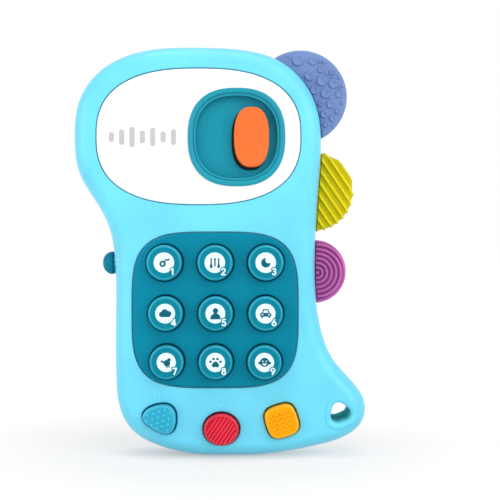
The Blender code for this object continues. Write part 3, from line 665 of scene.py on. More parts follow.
# each button colour is followed by a lighter copy for its studs or ribs: a painted highlight on the raised
# parts
BLUE = surface("button blue", "2b9cb7", 0.38)
STUD_BLUE_HIGHLIGHT = surface("stud blue painted highlight", "46bddd", 0.38)
RED = surface("button red", "b9142a", 0.36, shine=0.07)
RIB_RED_HIGHLIGHT = surface("rib red painted highlight", "d9364b", 0.36, shine=0.07)
YELLOW = surface("button yellow", "ea9b00", 0.38, shine=0.06)
RIB_YELLOW_HIGHLIGHT = surface("rib yellow painted highlight", "f0a010", 0.38, shine=0.06)
SWITCH = surface("switch teal", "027088", 0.25, shine=0.07)
BLACK = surface("black plastic", "141414", 0.4)
SILICONE_BLUE = silicone("silicone blue", "6b82b0")
SILICONE_LIME = silicone("silicone lime", "b5a702")
# lighter copies of the lime and purple for the tops of the disc reliefs: painted highlights
SILICONE_LIME_HIGHLIGHT = silicone("silicone lime painted highlight", "cdc00c")
SILICONE_PURPLE = silicone("silicone purple", "964b86")
SILICONE_PURPLE_HIGHLIGHT = silicone("silicone purple painted highlight", "bd61aa")
INK_WHITE = surface("white print", "e2e5ea", 0.42, 0.06, 0.01, 0.2)
KEY_WHITE = surface("key print", "d0e2e9", 0.42, 0.06, 0.01, 0.2)
# lighter, shinier copies of the button colours for their rounded rims: painted highlights
BLUE_RIM_HIGHLIGHT = surface("button blue rim painted highlight", "37a7c3", 0.3, shine=0.35)
RED_RIM_HIGHLIGHT = surface("button red rim painted highlight", "c62138", 0.3, shine=0.35)
YELLOW_RIM_HIGHLIGHT = surface("button yellow rim painted highlight", "eda008", 0.3, shine=0.3)
INK_GREY = surface("grey print", "b3afb1", 0.42, 0.06, 0.02, 0.2)
INK_TEAL = surface("teal print", "005568", 0.4, 0.06, 0.02, 0.2)
STEEL = steel()
WRAP = cell_wrap()


# ---------------------------------------------------------------- case

def shell_rings(side):
    """Rings of one shell: inner face, up to the parting plane, over the rim, out to the outer face."""
    outline = case_outline()
    rings = []
    for wall, steps in ((WALL, 6), (0.0, 15)):
        depth, draw = HALF_DEPTH - wall - STRAIGHT, EDGE_INSET - wall
        skin = [(inset(outline, wall), PARTING + side * SEAM)]
        for a in np.linspace(0, math.pi / 2, steps):
            at = STRAIGHT + depth * math.sin(a)
            skin.append((inset(outline, wall + draw * (1 - math.cos(a))), PARTING + side * at))
        rings += skin[::-1] if wall else skin
    return rings


def disc_round(node):
    """A disc's centre x, z and radius, which its packed box gives."""
    low, high = span(node)
    radius = (high[2] - low[2]) / 2
    return high[0] - radius, (low[2] + high[2]) / 2, radius


def disc_slots():
    slots = []
    for node in PEGS:
        x, z, r = disc_round(node)
        low, high = span(node)
        slots.append(rod(x, z, r + GAP, low[1] - GAP, high[1] + GAP, 128))
    return slots


def switch_slot():
    """A shallow recess that the switch knob runs in, and the slot through its floor."""
    z, reach = SWITCH_Z, SWITCH_TRAVEL + 1.8
    side = SWITCH_RADIUS + RECESS_GAP
    run = side + SWITCH_TRAVEL
    recess = box(-44, RECESS_FLOOR, PARTING - side, PARTING + side, z - run, z + run)
    return recess, box(-40, -34, PARTING - 1.6, PARTING + 1.6, z - reach, z + reach)


def edge_openings(shell, side):
    """What both shells share: slots for the discs and the switch, and the lanyard hole in its tube."""
    cut(shell, *disc_slots(), *switch_slot())
    face = PARTING + side * (HALF_DEPTH + COLLAR_HEIGHT)
    wall = PARTING + side * (HALF_DEPTH - WALL / 2)
    add(shell, slab(lobed(COLLAR_RADIUS), face, wall, 0.38, side),
        prism(lobed(COLLAR_RADIUS - 0.5), PARTING + side * SEAM, wall - side * 0.4))
    cut(shell, pocket(lambda grow: lobed(LANYARD_RADIUS + grow), face, PARTING - side * 2, 1.2, side))
    # The bore's wall gets the lighter cyan: painted light inside the hole.
    paint(shell, BORE_PAINTED_LIGHT, lambda x, _, z: math.dist((x, z), LANYARD_AT) < 1.12 * LANYARD_RADIUS, 0.3)


def rods(places, radius, y0, y1):
    """Parallel rods at several places, as one shape."""
    return together([rod(x, z, radius, y0, y1) for x, z in places])


def front_shell():
    shell = make("front_shell_fine", loft(shell_rings(-1)), SHELL)
    add(shell, prism(superellipse(PANEL, 1.8), LEDGE_FRONT, LEDGE_BACK))
    add(shell, prism(superellipse(KEYPAD, 1.6), LEDGE_FRONT, LEDGE_BACK))
    for shape in (PANEL, KEYPAD):
        cut(shell, pocket(lambda grow: superellipse(shape, PANEL_GAP + grow), FRONT, POCKET_FLOOR, 0.3))
    cut(shell, prism(superellipse(PANEL, -2.6), -13, -7), prism(superellipse(KEYPAD, -0.9), -13, -7))
    add(shell, rods(CASE_SCREWS, BOSS_RADIUS, BOSS_ROOT, PARTING + 0.7))
    add(shell, rods(BOARD_SCREWS, BOARD_BOSS_RADIUS, BOSS_ROOT, BOARD_REST))
    cut(shell, rods(CASE_SCREWS, 1.25, -6, PARTING + 2))
    cut(shell, rods(BOARD_SCREWS, 1.2, -8, -4))
    for outline in (dots_outline, stripes_outline, zigzag_outline):
        cut(shell, pocket(lambda grow: outline(BUTTON_GAP + grow), FRONT, -6, LIP))
    edge_openings(shell, -1)
    place(shell, "case", "shell_cyan", "front_shell")


def face_marks():
    """Low raised signs above the three buttons: two bars, a ring, and two pairs of bars, in a paler cyan
    that paints a highlight on them.
    """
    bars = [capsule((x, 21.9), (x, 24.1), 0.75) for x in (-23.3, -21.7)]
    pairs = [capsule((x, z), (x + 0.3, z + 1.3), 0.6) for x in (19.6, 21.1) for z in (21.0, 23.1)]
    ring = [(circle(0.2, 20.1, r), y) for r, y in ((1.9, FRONT + 0.2), (1.8, FRONT - 0.15),
                                                    (1.25, FRONT - 0.15), (1.15, FRONT + 0.2))]
    strips = [slab(loop, FRONT - 0.15, FRONT + 0.2, 0.12) for loop in bars + pairs]
    marks = make("face_marks", together([*strips, loft(ring, ring_closed=True)]), MARK_HIGHLIGHT)
    place(marks, "case", "shell_cyan")


def edge_y(loop):
    """The depth of the case's rounded left edge under a loop near it."""
    outline = case_outline()
    left = outline[outline[:, 0] < -30]
    left = left[np.argsort(left[:, 1])]
    drawn = np.clip(loop[:, 0] - np.interp(loop[:, 1], left[:, 1], left[:, 0]), 0, EDGE_INSET)
    a = np.arccos(1 - drawn / EDGE_INSET)
    return PARTING - STRAIGHT - (HALF_DEPTH - STRAIGHT) * np.sin(a)


def level_marks():
    """White level marks beside the power switch: one, two and three short strokes."""
    shapes = []
    for count, z in ((1, 63.5), (2, 71.0), (3, 78.5)):
        for k in range(count):
            at = z + 1.5 * (k - (count - 1) / 2)
            x = np.interp(at, (60, 82), (-37.8, -39.4))
            loop = capsule((x, at), (x + 1.4, at), 0.7)
            shapes.append(loft([(loop, edge_y(loop) - 0.06), (loop, edge_y(loop) + 0.3)]))
    place(make("level_marks", together(shapes), INK_WHITE), "case", "panel_white")


def speaker_grille():
    """Upright slots that fill a circle behind the speaker."""
    slots = []
    for k in range(-3, 4):
        x = SPEAKER_AT[0] + 3.0 * k
        reach = math.sqrt(11.0**2 - (3.0 * k) ** 2)

        def outline(grow):
            return rounded_box(x - 0.8 - grow, x + 0.8 + grow, SPEAKER_AT[1] - reach - grow,
                               SPEAKER_AT[1] + reach + grow, 0.79 + grow)

        slots.append(pocket(outline, BACK, 12, 0.4, 1))
    return together(slots)


def door_box():
    low, high = span("battery_door")
    return low[0], high[0], low[2], high[2]


def rear_shell():
    x0, x1, z0, z1 = door_box()
    bx0, bx1, bz0, bz1 = BAY
    shell = make("rear_shell_fine", loft(shell_rings(1)), SHELL)
    add(shell, prism(rounded_box(x0 - 2, x1 + 2, z0 - 2, z1 + 2, 6), 11.6, SHELL_INSIDE))
    add(shell, box(bx0, bx1, BAY_FRONT, SHELL_INSIDE, bz0, bz1))
    add(shell, rods(CASE_SCREWS, WELL_RADIUS + WELL_WALL, PARTING + 1, SHELL_INSIDE))
    add(shell, rod(*DOOR_SCREW, 3.4, 6, 12.5))

    def opening(grow):
        gap = GAP + grow
        return rounded_box(x0 - gap, x1 + gap, z0 - gap, z1 + gap, DOOR_CORNER + gap)

    cut(shell, pocket(opening, BACK, DOOR_INSIDE - GAP, 0.4, 1))
    room = BAY_FRONT + BAY_WALL
    cut(shell, box(bx0 + BAY_WALL, bx1 - BAY_WALL, room, BACK + 1, bz0 + BAY_WALL, bz1 - BAY_WALL))
    floor = SCREW_SEAT - GAP
    cut(shell, together([pocket(lambda grow: circle(x, z, WELL_RADIUS + grow), BACK, floor, LIP, 1)
                         for x, z in CASE_SCREWS]))
    cut(shell, rods(CASE_SCREWS, 1.3, 2, 7))
    cut(shell, rod(*DOOR_SCREW, 1.7, 7, 14))
    cut(shell, speaker_grille())
    edge_openings(shell, 1)
    add(shell, rods(PEGS.values(), 1.3, 0.5, SHELL_INSIDE))
    place(shell, "case", "shell_cyan", "rear_shell")


def battery_door():
    x0, x1, z0, z1 = door_box()
    loop = rounded_box(x0, x1, z0, z1, DOOR_CORNER, 12)
    door = make("battery_door_fine", slab(loop, BACK, DOOR_INSIDE, 0.4, 1), SHELL)
    cut(door, pocket(lambda grow: circle(*DOOR_SCREW, 3.1 + grow), BACK, 14.0, 0.3, 1))
    cut(door, rod(*DOOR_SCREW, 1.5, 12, 16))
    ribs = [slab(rounded_box(-8, 6, z, z + 1.2, 0.59), BACK + 0.3, BACK - 0.4, 0.28, 1)
            for z in (66.0, 68.6, 71.2, 73.8)]
    add(door, together(ribs))
    cut(door, prism(np.array([(-5.0, 62.5), (3.0, 62.5), (-1.0, 56.5)]), BACK - 0.35, BACK + 1))
    place(door, "battery_door", "shell_cyan", "battery_door")


# ---------------------------------------------------------------- head

def screen_panel():
    panel = make("screen_panel_fine", slab(superellipse(PANEL), PANEL_FACE, PANEL_BACK, 0.4), WHITE)
    cut(panel, pocket(lambda grow: superellipse(WINDOW, 1.7 + grow, 112), PANEL_FACE, -8, 0.1))
    place(panel, "case", "panel_white", "screen_panel")
    left, z, pitch, tallest = -39.2, 116.4, 3.75, 7.0
    bars = []
    for k, share in enumerate((0.45, 0.75, 1.0, 0.6, 0.9, 0.5, 0.75)):
        x, half = left + pitch * k, tallest / 2 * share - 0.7
        bars.append(capsule((x, z - half), (x, z + half), 2.0, 15))
    place(make("panel_bars", layers(bars, PANEL_FACE, 0.06), INK_GREY), "case", "panel_white")


def slider_bezel():
    """A crowned frame round the window with a bead inside it, and a sleeve down to the sliding plate."""
    half_turn = np.linspace(0, math.pi, 15)
    valley, bead = 0.95, 0.75
    crown = [(valley + (BEZEL_BRIM - valley) / 2 * (1 + math.cos(a)),
              BEZEL_EDGE + (BEZEL_FACE - BEZEL_EDGE) * math.sin(a) ** 0.75) for a in half_turn]
    inner = [(bead / 2 * (1 + math.cos(a)), BEZEL_EDGE - 0.05 - 0.3 * math.sin(a) ** 0.8)
             for a in half_turn]
    section = [(BEZEL_BRIM, BEZEL_FOOT), *crown, *inner, (0.0, LEDGE_BACK), (BEZEL_SLEEVE, LEDGE_BACK),
               (BEZEL_SLEEVE, BEZEL_FOOT)]
    rings = [(superellipse(WINDOW, grow, 160), y) for grow, y in section]
    bezel = make("slider_bezel_fine", loft(rings, ring_closed=True), BEZEL)
    place(bezel, "case", "teal_plastic", "slider_bezel")


def slider_plate():
    """The plate that closes the window behind the knob wherever it stands."""
    loop = superellipse(WINDOW, 1.0, 160)
    loop[loop[:, 0] > WINDOW[0] + 0.01, 0] += KNOB_TRAVEL
    plate = make("slider_plate_fine", prism(loop, PLATE_FACE, span("slider_plate")[1][1]), PLATE)
    cut(plate, rod(KNOB[0], KNOB[1], 2.4, -10, -5))
    place(plate, "eye_slider", "plate_teal", "slider_plate")


def eye_slider():
    """The orange knob, undercut round its neck, with a black skirt set off to the lower left as a painted
    shadow of the knob.
    """
    outer = superellipse(KNOB, 0.0, 144)
    neck = superellipse(KNOB, -NECK_INSET, 144)
    rings = [(neck, PLATE_FACE - 0.3), (neck, -10.0), (inset(outer, 0.4), -10.3), (outer, -10.7)]
    rings += rounding(outer, KNOB_FACE + 0.15, 0.85, -1, 9)
    rings += [(superellipse(KNOB, -3.0, 144), KNOB_FACE + 0.03), (superellipse(KNOB, -5.4, 144), KNOB_FACE)]
    knob = make("eye_slider_fine", loft(rings), ORANGE)
    add(knob, rod(KNOB[0], KNOB[1], 2.0, -9, -5.6))
    place(knob, "eye_slider", "knob_orange", "eye_slider")
    # The black skirt, set off to the lower left, is a painted shadow that the knob casts on the plate.
    skirt = superellipse(KNOB, SHADOW_SKIRT_GROW, 144) + np.array(SHADOW_SKIRT_SHIFT)
    hole = superellipse(KNOB, 0.3 - NECK_INSET, 144)
    back = PLATE_FACE - 0.3
    ring = [(hole, SHADOW_SKIRT_FACE), (hole, back), (skirt, back), (skirt, SHADOW_SKIRT_FACE + 0.2),
            (inset(skirt, 0.2), SHADOW_SKIRT_FACE)]
    place(make("slider_shadow_skirt_fine", loft(ring, ring_closed=True), BLACK), "eye_slider", "black_plastic",
          "slider_skirt")


# ---------------------------------------------------------------- keypad

def key_places():
    """The x, z and radius of each key, in the order of their numbers."""
    return [(*middle(f"key_{number + 1}"), KEY_RADII[number // 3]) for number in range(9)]


def keypad_panel():
    panel = make("keypad_panel_fine", slab(superellipse(KEYPAD), KEYPAD_FACE, PANEL_BACK, 0.8), TEAL)
    add(panel, prism(superellipse(KEYPAD, -1.25), -10.5, LEDGE_BACK))
    holes = [pocket(lambda grow: circle(x, z, r + KEY_GAP + grow, 72), KEYPAD_FACE, -8, 0.4)
             for x, z, r in key_places()]
    cut(panel, together(holes))
    place(panel, "case", "teal_plastic", "keypad_panel")


def arc(x, z, radius, start, stop, steps=13):
    t = np.radians(np.linspace(start, stop, steps))
    return np.column_stack([x + radius * np.cos(t), z + radius * np.sin(t)])


def strokes(points, width):
    """A line through points, as overlapping capsules."""
    return [capsule(a, b, width) for a, b in zip(points[:-1], points[1:])]


def spot(x, z, radius):
    return circle(x, z, radius, 24)


def key_signs():
    """For each key, the loops of its sign, and the white loops that lie on the sign."""
    ring = strokes(arc(-0.5, -0.35, 0.82, 0, 360, 19), 0.66)
    moon = np.vstack([arc(0, 0, 1.7, 93, 357, 25), arc(0.95, 0.95, 1.13, 306, 144, 19)])
    shoulders = np.vstack([arc(0, -1.7, 1.85, 0, 180), [(-1.85, -2.0), (1.85, -2.0)]])
    cabin = strokes([(-1.15, 0.4), (-0.8, 1.45), (0.8, 1.45), (1.15, 0.4)], 0.42)
    smile = arc(0, -0.3, 0.75, 180, 360)
    fork, spoon = 1.35, -1.35
    return [
        (ring + strokes([(0.2, 0.45), (0.8, 1.2), (1.45, 0.9), (1.9, 1.35)], 0.46), []),
        ([capsule((x, -1.2), (x, 1.5), 0.5) for x in (spoon, 0.0, fork)]
         + [capsule((x, -1.5), (x, -0.9), 0.9) for x in (spoon, fork)] + [spot(0.0, 1.25, 0.42)], []),
        ([moon], []),
        ([spot(-1.3, -0.25, 0.95), spot(-0.2, 0.45, 1.2), spot(1.2, 0.0, 1.0),
          capsule((-1.35, -0.65), (1.25, -0.65), 1.1)], []),
        ([spot(0, 1.05, 0.98), shoulders, capsule((0, 0.6), (0, -0.8), 0.9)], []),
        (cabin + [capsule((-1.4, -0.35), (1.4, -0.35), 1.35), *(capsule((x, -1.2), (x, -0.9), 0.7)
                                                                for x in (-1.3, 1.3))],
         [spot(x, -0.3, 0.28) for x in (-1.15, 1.15)]),
        ([spot(0.2, -0.2, 1.2), spot(0.9, 0.95, 0.64), capsule((-1.75, 0.45), (-0.4, -0.15), 0.64),
          capsule((0.0, -1.25), (0.3, -1.9), 0.36), capsule((0.65, -1.1), (1.1, -1.7), 0.36)], []),
        ([spot(-0.55, -0.95, 0.76), spot(0.55, -0.95, 0.76), spot(0, -0.55, 0.95), spot(-1.8, 0.3, 0.44),
          spot(-0.7, 1.3, 0.46), spot(0.7, 1.3, 0.46), spot(1.8, 0.3, 0.44)], []),
        ([spot(0, 0.1, 1.65), spot(-1.75, -0.15, 0.52), spot(1.75, -0.15, 0.52)],
         [spot(-0.6, 0.45, 0.25), spot(0.6, 0.45, 0.25), smile]),
    ]


def digit_lines():
    """The strokes of the digits 1 to 9, about 2.2 high and round their middle."""
    return [
        [[(-0.4, 0.7), (0.15, 1.1), (0.15, -1.1)]],
        [np.vstack([arc(0, 0.48, 0.62, 165, -35, 11), [(-0.6, -1.1), (0.68, -1.1)]])],
        [arc(-0.05, 0.55, 0.55, 150, -90, 11), arc(-0.05, -0.52, 0.6, 90, -150, 11)],
        [[(0.35, -1.1), (0.35, 1.1), (-0.7, -0.5), (0.75, -0.5)]],
        [np.vstack([[(0.5, 1.08), (-0.38, 1.08), (-0.48, 0.15)], arc(-0.02, -0.42, 0.66, 110, -145, 11)])],
        [arc(0, -0.45, 0.64, 0, 360, 17), [(-0.52, -0.1), (0.2, 1.1)]],
        [[(-0.62, 1.08), (0.62, 1.08), (-0.2, -1.1)]],
        [arc(0, 0.56, 0.5, 0, 360, 15), arc(0, -0.52, 0.6, 0, 360, 17)],
        [arc(0, 0.45, 0.64, 0, 360, 17), [(0.52, 0.1), (-0.2, -1.1)]],
    ]


def keys():
    """The key caps, each with a white disc, a sign on the disc and its digit at the lower right."""
    stem = [(FLANGE_RADIUS, FLANGE_FRONT), (FLANGE_RADIUS, FLANGE_BACK), (PLUNGER_RADIUS, FLANGE_BACK),
            (PLUNGER_RADIUS, PLUNGER_END)]
    for number, ((sign, on_sign), lines) in enumerate(zip(key_signs(), digit_lines()), 1):
        name = f"key_{number}"
        x, z, radius = key_places()[number - 1]
        rim = fillet(radius, KEY_FACE, KEY_EDGE, -1, 8)[::-1]
        profile = [(0, KEY_FACE), *rim, (radius, FLANGE_FRONT), *stem]
        cap = make(f"{name}_fine", turned((x, 0, z), profile, steps=72), KEY)
        # The rim gets the lighter, shinier teal: a painted highlight on the rounded edge.
        paint(cap, KEY_RIM_HIGHLIGHT, lambda px, py, pz: py < KEY_FACE + 0.8 * KEY_EDGE
              and math.hypot(px - x, pz - z) > radius - KEY_EDGE)
        place(cap, name, "key_teal", name)
        at = np.array([x, z])
        digit = at + DIGIT_SHIFT
        plate = [circle(x - 0.05, z + 0.05, KEY_SPOTS[(number - 1) // 3], 64)]
        under = layers([loop + at for loop in sign], KEY_FACE, 0.07)
        halo, figure = ([stroke + digit for line in lines for stroke in strokes(line, width)]
                        for width in (1.25, 0.52))
        white = [layers(plate, KEY_FACE, 0.04), layers(figure, KEY_FACE, 0.25)]
        if on_sign:
            white.append(layers([loop + at for loop in on_sign], KEY_FACE, 0.16))
        place(make(f"{name}_print", together(white), KEY_WHITE), name, "panel_white")
        place(make(f"{name}_sign", under, INK_TEAL), name, "key_teal")
        place(make(f"{name}_notch", layers(halo, KEY_FACE, 0.13), KEY), name, "key_teal")


# ---------------------------------------------------------------- buttons

def crowned(x, z):
    """The depth of a button's crowned face, from its middle at (x, z)."""
    return lambda px, pz: BUTTON_FACE + BUTTON_CROWN * np.clip(((px - x) ** 2 + (pz - z) ** 2) / 36, 0, 1)


def within(points, outline):
    """Which of the points lie inside a closed outline."""
    inside = np.zeros(len(points), bool)
    for a, b in zip(outline, np.roll(outline, -1, axis=0)):
        spans = (a[1] > points[:, 1]) != (b[1] > points[:, 1])
        rise = b[1] - a[1] if b[1] != a[1] else 1.0
        inside ^= spans & (points[:, 0] < a[0] + (points[:, 1] - a[1]) * (b[0] - a[0]) / rise)
    return inside


def button(name, outline, at, ear, material, rim_highlight, slot):
    """A button with a crowned face, two ears that hold it behind the shell, and a rounded edge in a
    lighter, shinier copy of its colour as a painted highlight.
    """
    x, z = at
    loop = outline(0.0, 220)
    ground = crowned(x, z)
    brim = inset(loop, BUTTON_EDGE)
    rings = [(loop, BUTTON_BACK), *rounding(loop, ground(*brim.T), BUTTON_EDGE, -1, 9)]
    for f in np.linspace(0.85, 0.05, 9):
        ring = np.array(at) + (brim - at) * f
        rings.append((ring, ground(*ring.T)))
    cap = make(f"{name}_fine", loft(rings), material)
    ear_low, ear_high = z - EAR_WIDTH / 2, z + EAR_WIDTH / 2
    add(cap, box(x - ear, x + ear, BUTTON_BACK - EAR_THICK, BUTTON_BACK + 0.1, ear_low, ear_high))
    # The rounded rim gets the lighter, shinier copy of the colour: a painted highlight.
    paint(cap, rim_highlight, lambda px, py, pz: py < BUTTON_FACE + BUTTON_CROWN + BUTTON_EDGE, 0.97)
    place(cap, name, slot, name, sharp=50)


def dots():
    """Small studs on a slanted grid, in a lighter blue that paints a highlight on them."""
    start, across, down = np.array((-22.0, 15.1)), np.array((2.09, 0.73)), np.array((-0.3, -2.06))
    grid = np.array([start + i * across + j * down for i in range(-4, 5) for j in range(-4, 5)])
    grid = grid[within(grid, dots_outline(-0.75))]
    studs = [raised(circle(*at, 0.42, 24), crowned(*DOTS_AT), 0.28, 0.25) for at in grid]
    button("button_dots", dots_outline, DOTS_AT, 7.0, BLUE, BLUE_RIM_HIGHLIGHT, "button_blue")
    place(make("button_dots_studs", together(studs), STUD_BLUE_HIGHLIGHT), "button_dots", "button_blue")


def stripes():
    """Slanting ribs that leave a smooth band round the face, in a lighter red as a painted highlight."""
    along, across = axes(STRIPES_LEAN)
    reach = along * np.linspace(-7, 7, 281)[:, None]
    brim = stripes_outline(-1.2) - np.array((0, 0.3))
    ribs = []
    for k in range(-5, 6):
        line = np.array(STRIPES_AT) + across * (STRIPES_PITCH * k) + reach
        kept = line[within(line, brim)]
        if len(kept) > 10:
            ribs.append(raised(capsule(kept[0], kept[-1], 0.66), crowned(*STRIPES_AT), 0.5, 0.3))
    button("button_stripes", stripes_outline, STRIPES_AT, 7.9, RED, RED_RIM_HIGHLIGHT, "button_red")
    place(make("button_stripes_ribs", together(ribs), RIB_RED_HIGHLIGHT), "button_stripes", "button_red")


def zigzags():
    """Rows of zigzag ribs that end short of the face's edge, in a lighter yellow as a painted highlight."""
    u, v = axes(ZIGZAG_TURN)
    brim = zigzag_outline(-1.0)
    ribs = []
    for row in range(-2, 3):
        teeth = np.array([np.array(ZIGZAG_AT) + u * (1.15 * k) + v * (1.62 * row + 0.5 * (-1) ** k)
                          for k in range(-4, 5)])
        teeth = teeth[within(teeth, brim)]
        ribs.append(raised(ribbon(teeth, 0.62), crowned(*ZIGZAG_AT), 0.45, 0.22))
    button("button_zigzag", zigzag_outline, ZIGZAG_AT, 7.8, YELLOW, YELLOW_RIM_HIGHLIGHT, "button_yellow")
    place(make("button_zigzag_ribs", together(ribs), RIB_YELLOW_HIGHLIGHT), "button_zigzag", "button_yellow")


# ---------------------------------------------------------------- soft discs

def bubbles_height(x, z):
    """Flat-topped rounds with a dished middle."""
    rise = np.zeros_like(x)
    for bx, bz, radius in BUBBLES:
        d = np.hypot(x - bx, z - bz) / radius
        edge = np.sqrt(np.clip((1 - d) * radius / 0.35, 0, 1))
        dish = 0.6 * np.clip(1 - (d / 0.72) ** 2, 0, 1)
        rise = np.maximum(rise, edge - dish * edge)
    return 0.8 * rise


def across_ridges(x, z):
    """How far a place lies to the upper right of the nearest ridge's crest."""
    across = x * math.sin(RIDGE_LEAN) + z * math.cos(RIDGE_LEAN) + RIDGE_SHIFT
    return ((across / RIDGE_PITCH + 0.5) % 1 - 0.5) * RIDGE_PITCH


def ridge_wave(x, z):
    """One on the crest of a ridge and zero in the valleys between them."""
    away = across_ridges(x, z)
    away = np.where(away > 0, away / 1.0, -away / 0.6)
    return np.cos(np.clip(away, 0, 1) * math.pi / 2) ** 1.5


def ridges_height(x, z):
    return 0.8 * ridge_wave(x, z)


# Where the pale lime goes: a band over each ridge's crest and its upper right flank, a painted highlight.
def crest_highlight_band(x, z):
    return -0.15 < across_ridges(x, z) < 0.8


def ring_wave(x, z):
    """From zero in the grooves to one on the rings."""
    turn = np.hypot(x - RING_MIDDLE[0], z - RING_MIDDLE[1]) / RING_PITCH - 0.13
    return 0.5 + 0.5 * np.cos(2 * math.pi * turn)


def rings_height(x, z):
    return 1.2 * ring_wave(x, z) ** 0.9


# Where the pale purple goes: the tops of the rings, a painted highlight.
def ring_highlight_band(x, z):
    return ring_wave(x, z) > 0.5


def disc_groove(side, face):
    """The cut along the case's outline that leaves a dark line between a disc and the case."""
    outline = case_outline(160)
    inner, outer = inset(outline, 1.0), inset(outline, -0.75)
    low, high = PARTING + side * DISC_NECK, face + side * 2
    return loft([(inner, low), (outer, low), (outer, high), (inner, high)], ring_closed=True)


def teether(name, height, deep, material, slot, tooth=0.0, pale=None, crest=None):
    """A soft disc with a relief on both faces, deep below them, and teeth where its ridges meet the rim.

    The pale material, a lighter copy of the disc's colour, goes on the places where crest(x, z) holds, as a
    painted highlight on the raised crests and rings.
    """
    x, z, r = disc_round(name)
    low, high = span(name)
    loop = circle(x, z, r, 480)
    out = loop - (x, z)
    loop = (x, z) + out * (1 - tooth / r * (1 - ridge_wave(*out.T)))[:, None]
    rings = []
    for side, face in ((1, high[1]), (-1, low[1])):
        flat = face - side * deep
        edge = [((x, z) + (loop - (x, z)) * (1 - DISC_EDGE / r * (1 - math.cos(a))),
                 flat - side * DISC_EDGE * (1 - math.sin(a))) for a in np.linspace(0, math.pi / 2, 7)]
        inner = relief(edge[-1][0], flat, side, height, (x, z))[1:]
        rings += [*inner[::-1], *edge[::-1]] if side == 1 else [*edge, *inner]
    disc = make(f"{name}_fine", loft(rings), material)
    cut(disc, prism(inset(case_outline(120), DISC_REACH), -2, 6))
    cut(disc, rod(*PEGS[name], 1.7, -2, 6))
    for side, face in ((1, high[1]), (-1, low[1])):
        cut(disc, disc_groove(side, face))
    if pale:
        paint(disc, pale, lambda px, _, pz: crest(px - x, pz - z))
    place(disc, "case", slot, name, sharp=55)


def teethers():
    teether("teether_bubbles", bubbles_height, 0.8, SILICONE_BLUE, "silicone_blue")
    teether("teether_ridges", ridges_height, 0.8, SILICONE_LIME, "silicone_lime", 0.5,
            SILICONE_LIME_HIGHLIGHT, crest_highlight_band)
    teether("teether_rings", rings_height, 1.2, SILICONE_PURPLE, "silicone_purple", 0.0,
            SILICONE_PURPLE_HIGHLIGHT, ring_highlight_band)


# ---------------------------------------------------------------- switch, screws and battery bay

def switch_knob():
    """A domed knob with a groove round it, a neck through the slot and a flange behind it."""
    tip, z, barrel = span("switch_knob")[0][0] - SWITCH_BASE, SWITCH_Z, -1.7
    waist = SWITCH_RADIUS - 0.35
    groove = [(SWITCH_RADIUS, 0.0), (SWITCH_RADIUS, -0.45), (waist, -0.75), (waist, -1.05),
              (SWITCH_RADIUS, -1.4)]
    dome = [(SWITCH_RADIUS * math.cos(a) ** 0.8, barrel + (tip - barrel) * math.sin(a) ** 1.15)
            for a in np.linspace(0, 1.52, 20)]
    shape = turned((SWITCH_BASE, PARTING, z), [*groove, *dome, (0, tip)], "X", 96)
    knob = make("switch_knob_fine", shape, SWITCH)
    add(knob, box(SWITCH_BASE - 0.4, -35.4, PARTING - 1.2, PARTING + 1.2, z - 1.5, z + 1.5))
    add(knob, box(-35.9, -34.9, PARTING - 3, PARTING + 3, z - 7, z + 7))
    place(knob, "switch_knob", "switch_teal", "switch_knob")


def screw(name, body, head, seat, shank):
    """A pan-head screw with a cross recess, driven from behind."""
    x, z = middle(name)
    tip, top = (corner[1] for corner in span(name))
    profile = [(shank * 0.4, tip), (shank, tip + 1.0), (shank, seat)]
    profile += [(head - 0.15, seat), (head, seat + 0.2)]
    profile += fillet(head, top, 0.5, 1, 6)
    thing = make(f"{name}_fine", turned((x, 0, z), profile, steps=40), STEEL)
    wide, long = 0.32, head * 0.62
    cut(thing, box(x - wide, x + wide, top - 0.8, top + 1, z - long, z + long))
    cut(thing, box(x - long, x + long, top - 0.8, top + 1, z - wide, z + wide))
    place(thing, body, "steel", name)


def screws():
    for number in range(1, 6):
        name = f"case_screw_{number}"
        low, high = span(name)
        screw(name, "case", (high[2] - low[2]) / 2, SCREW_SEAT, 0.95)
    screw("door_screw", "door_screw", 2.7, 14.25, 1.2)


def cells():
    """Two AAA cells, one each way up, with a crimped rim and a raised terminal."""
    for name in ("battery_1", "battery_2"):
        low, high = span(name)
        x, y = (low[:2] + high[:2]) / 2
        radius, length = (high[0] - low[0]) / 2, high[2] - low[2]
        foot = [(radius - 0.7, 0.0), (radius - 0.4, 0.1), (radius - 0.15, 0.25), (radius, 0.5)]
        crimp = [(0.0, 1.9), (0.1, 1.6), (0.5, 1.35), (1.0, 1.3)]
        can = foot + [(radius - inwards, length - down) for inwards, down in crimp]
        can += [(2.0, length - 1.3), (1.9, length - 0.3), (1.6, length)]
        if name == "battery_2":
            can = [(r, length - z) for r, z in can[::-1]]
        cell = make(f"{name}_fine", turned((x, y, low[2]), can, "Z", 64), WRAP)
        place(cell, "case", "battery_wrap", name)


def coil(x, y, z0, z1, wide, narrow):
    """A conical coil spring along Z."""
    turns, wire = 2.5, 0.3
    rings = []
    for f in np.linspace(0, 1, 51):
        t = 2 * math.pi * turns * f
        radius = wide + (narrow - wide) * f
        centre = np.array([x + radius * math.cos(t), y + radius * math.sin(t), z0 + (z1 - z0) * f])
        out = np.array([math.cos(t), math.sin(t), 0])
        rings.append([tuple(centre + wire * (math.cos(a) * out + np.array([0, 0, math.sin(a)])))
                      for a in np.linspace(0, 2 * math.pi, 8, endpoint=False)])
    return skin(rings)


def springs():
    for name, cell, z0, z1 in (("battery_spring_1", "battery_1", 24.8, 26.5),
                               ("battery_spring_2", "battery_2", 73.2, 71.5)):
        low, high = span(cell)
        shape = coil(*(low[:2] + high[:2]) / 2, z0, z1, 3.6, 2.2)
        place(make(f"{name}_fine", shape, STEEL), "case", "steel", name)


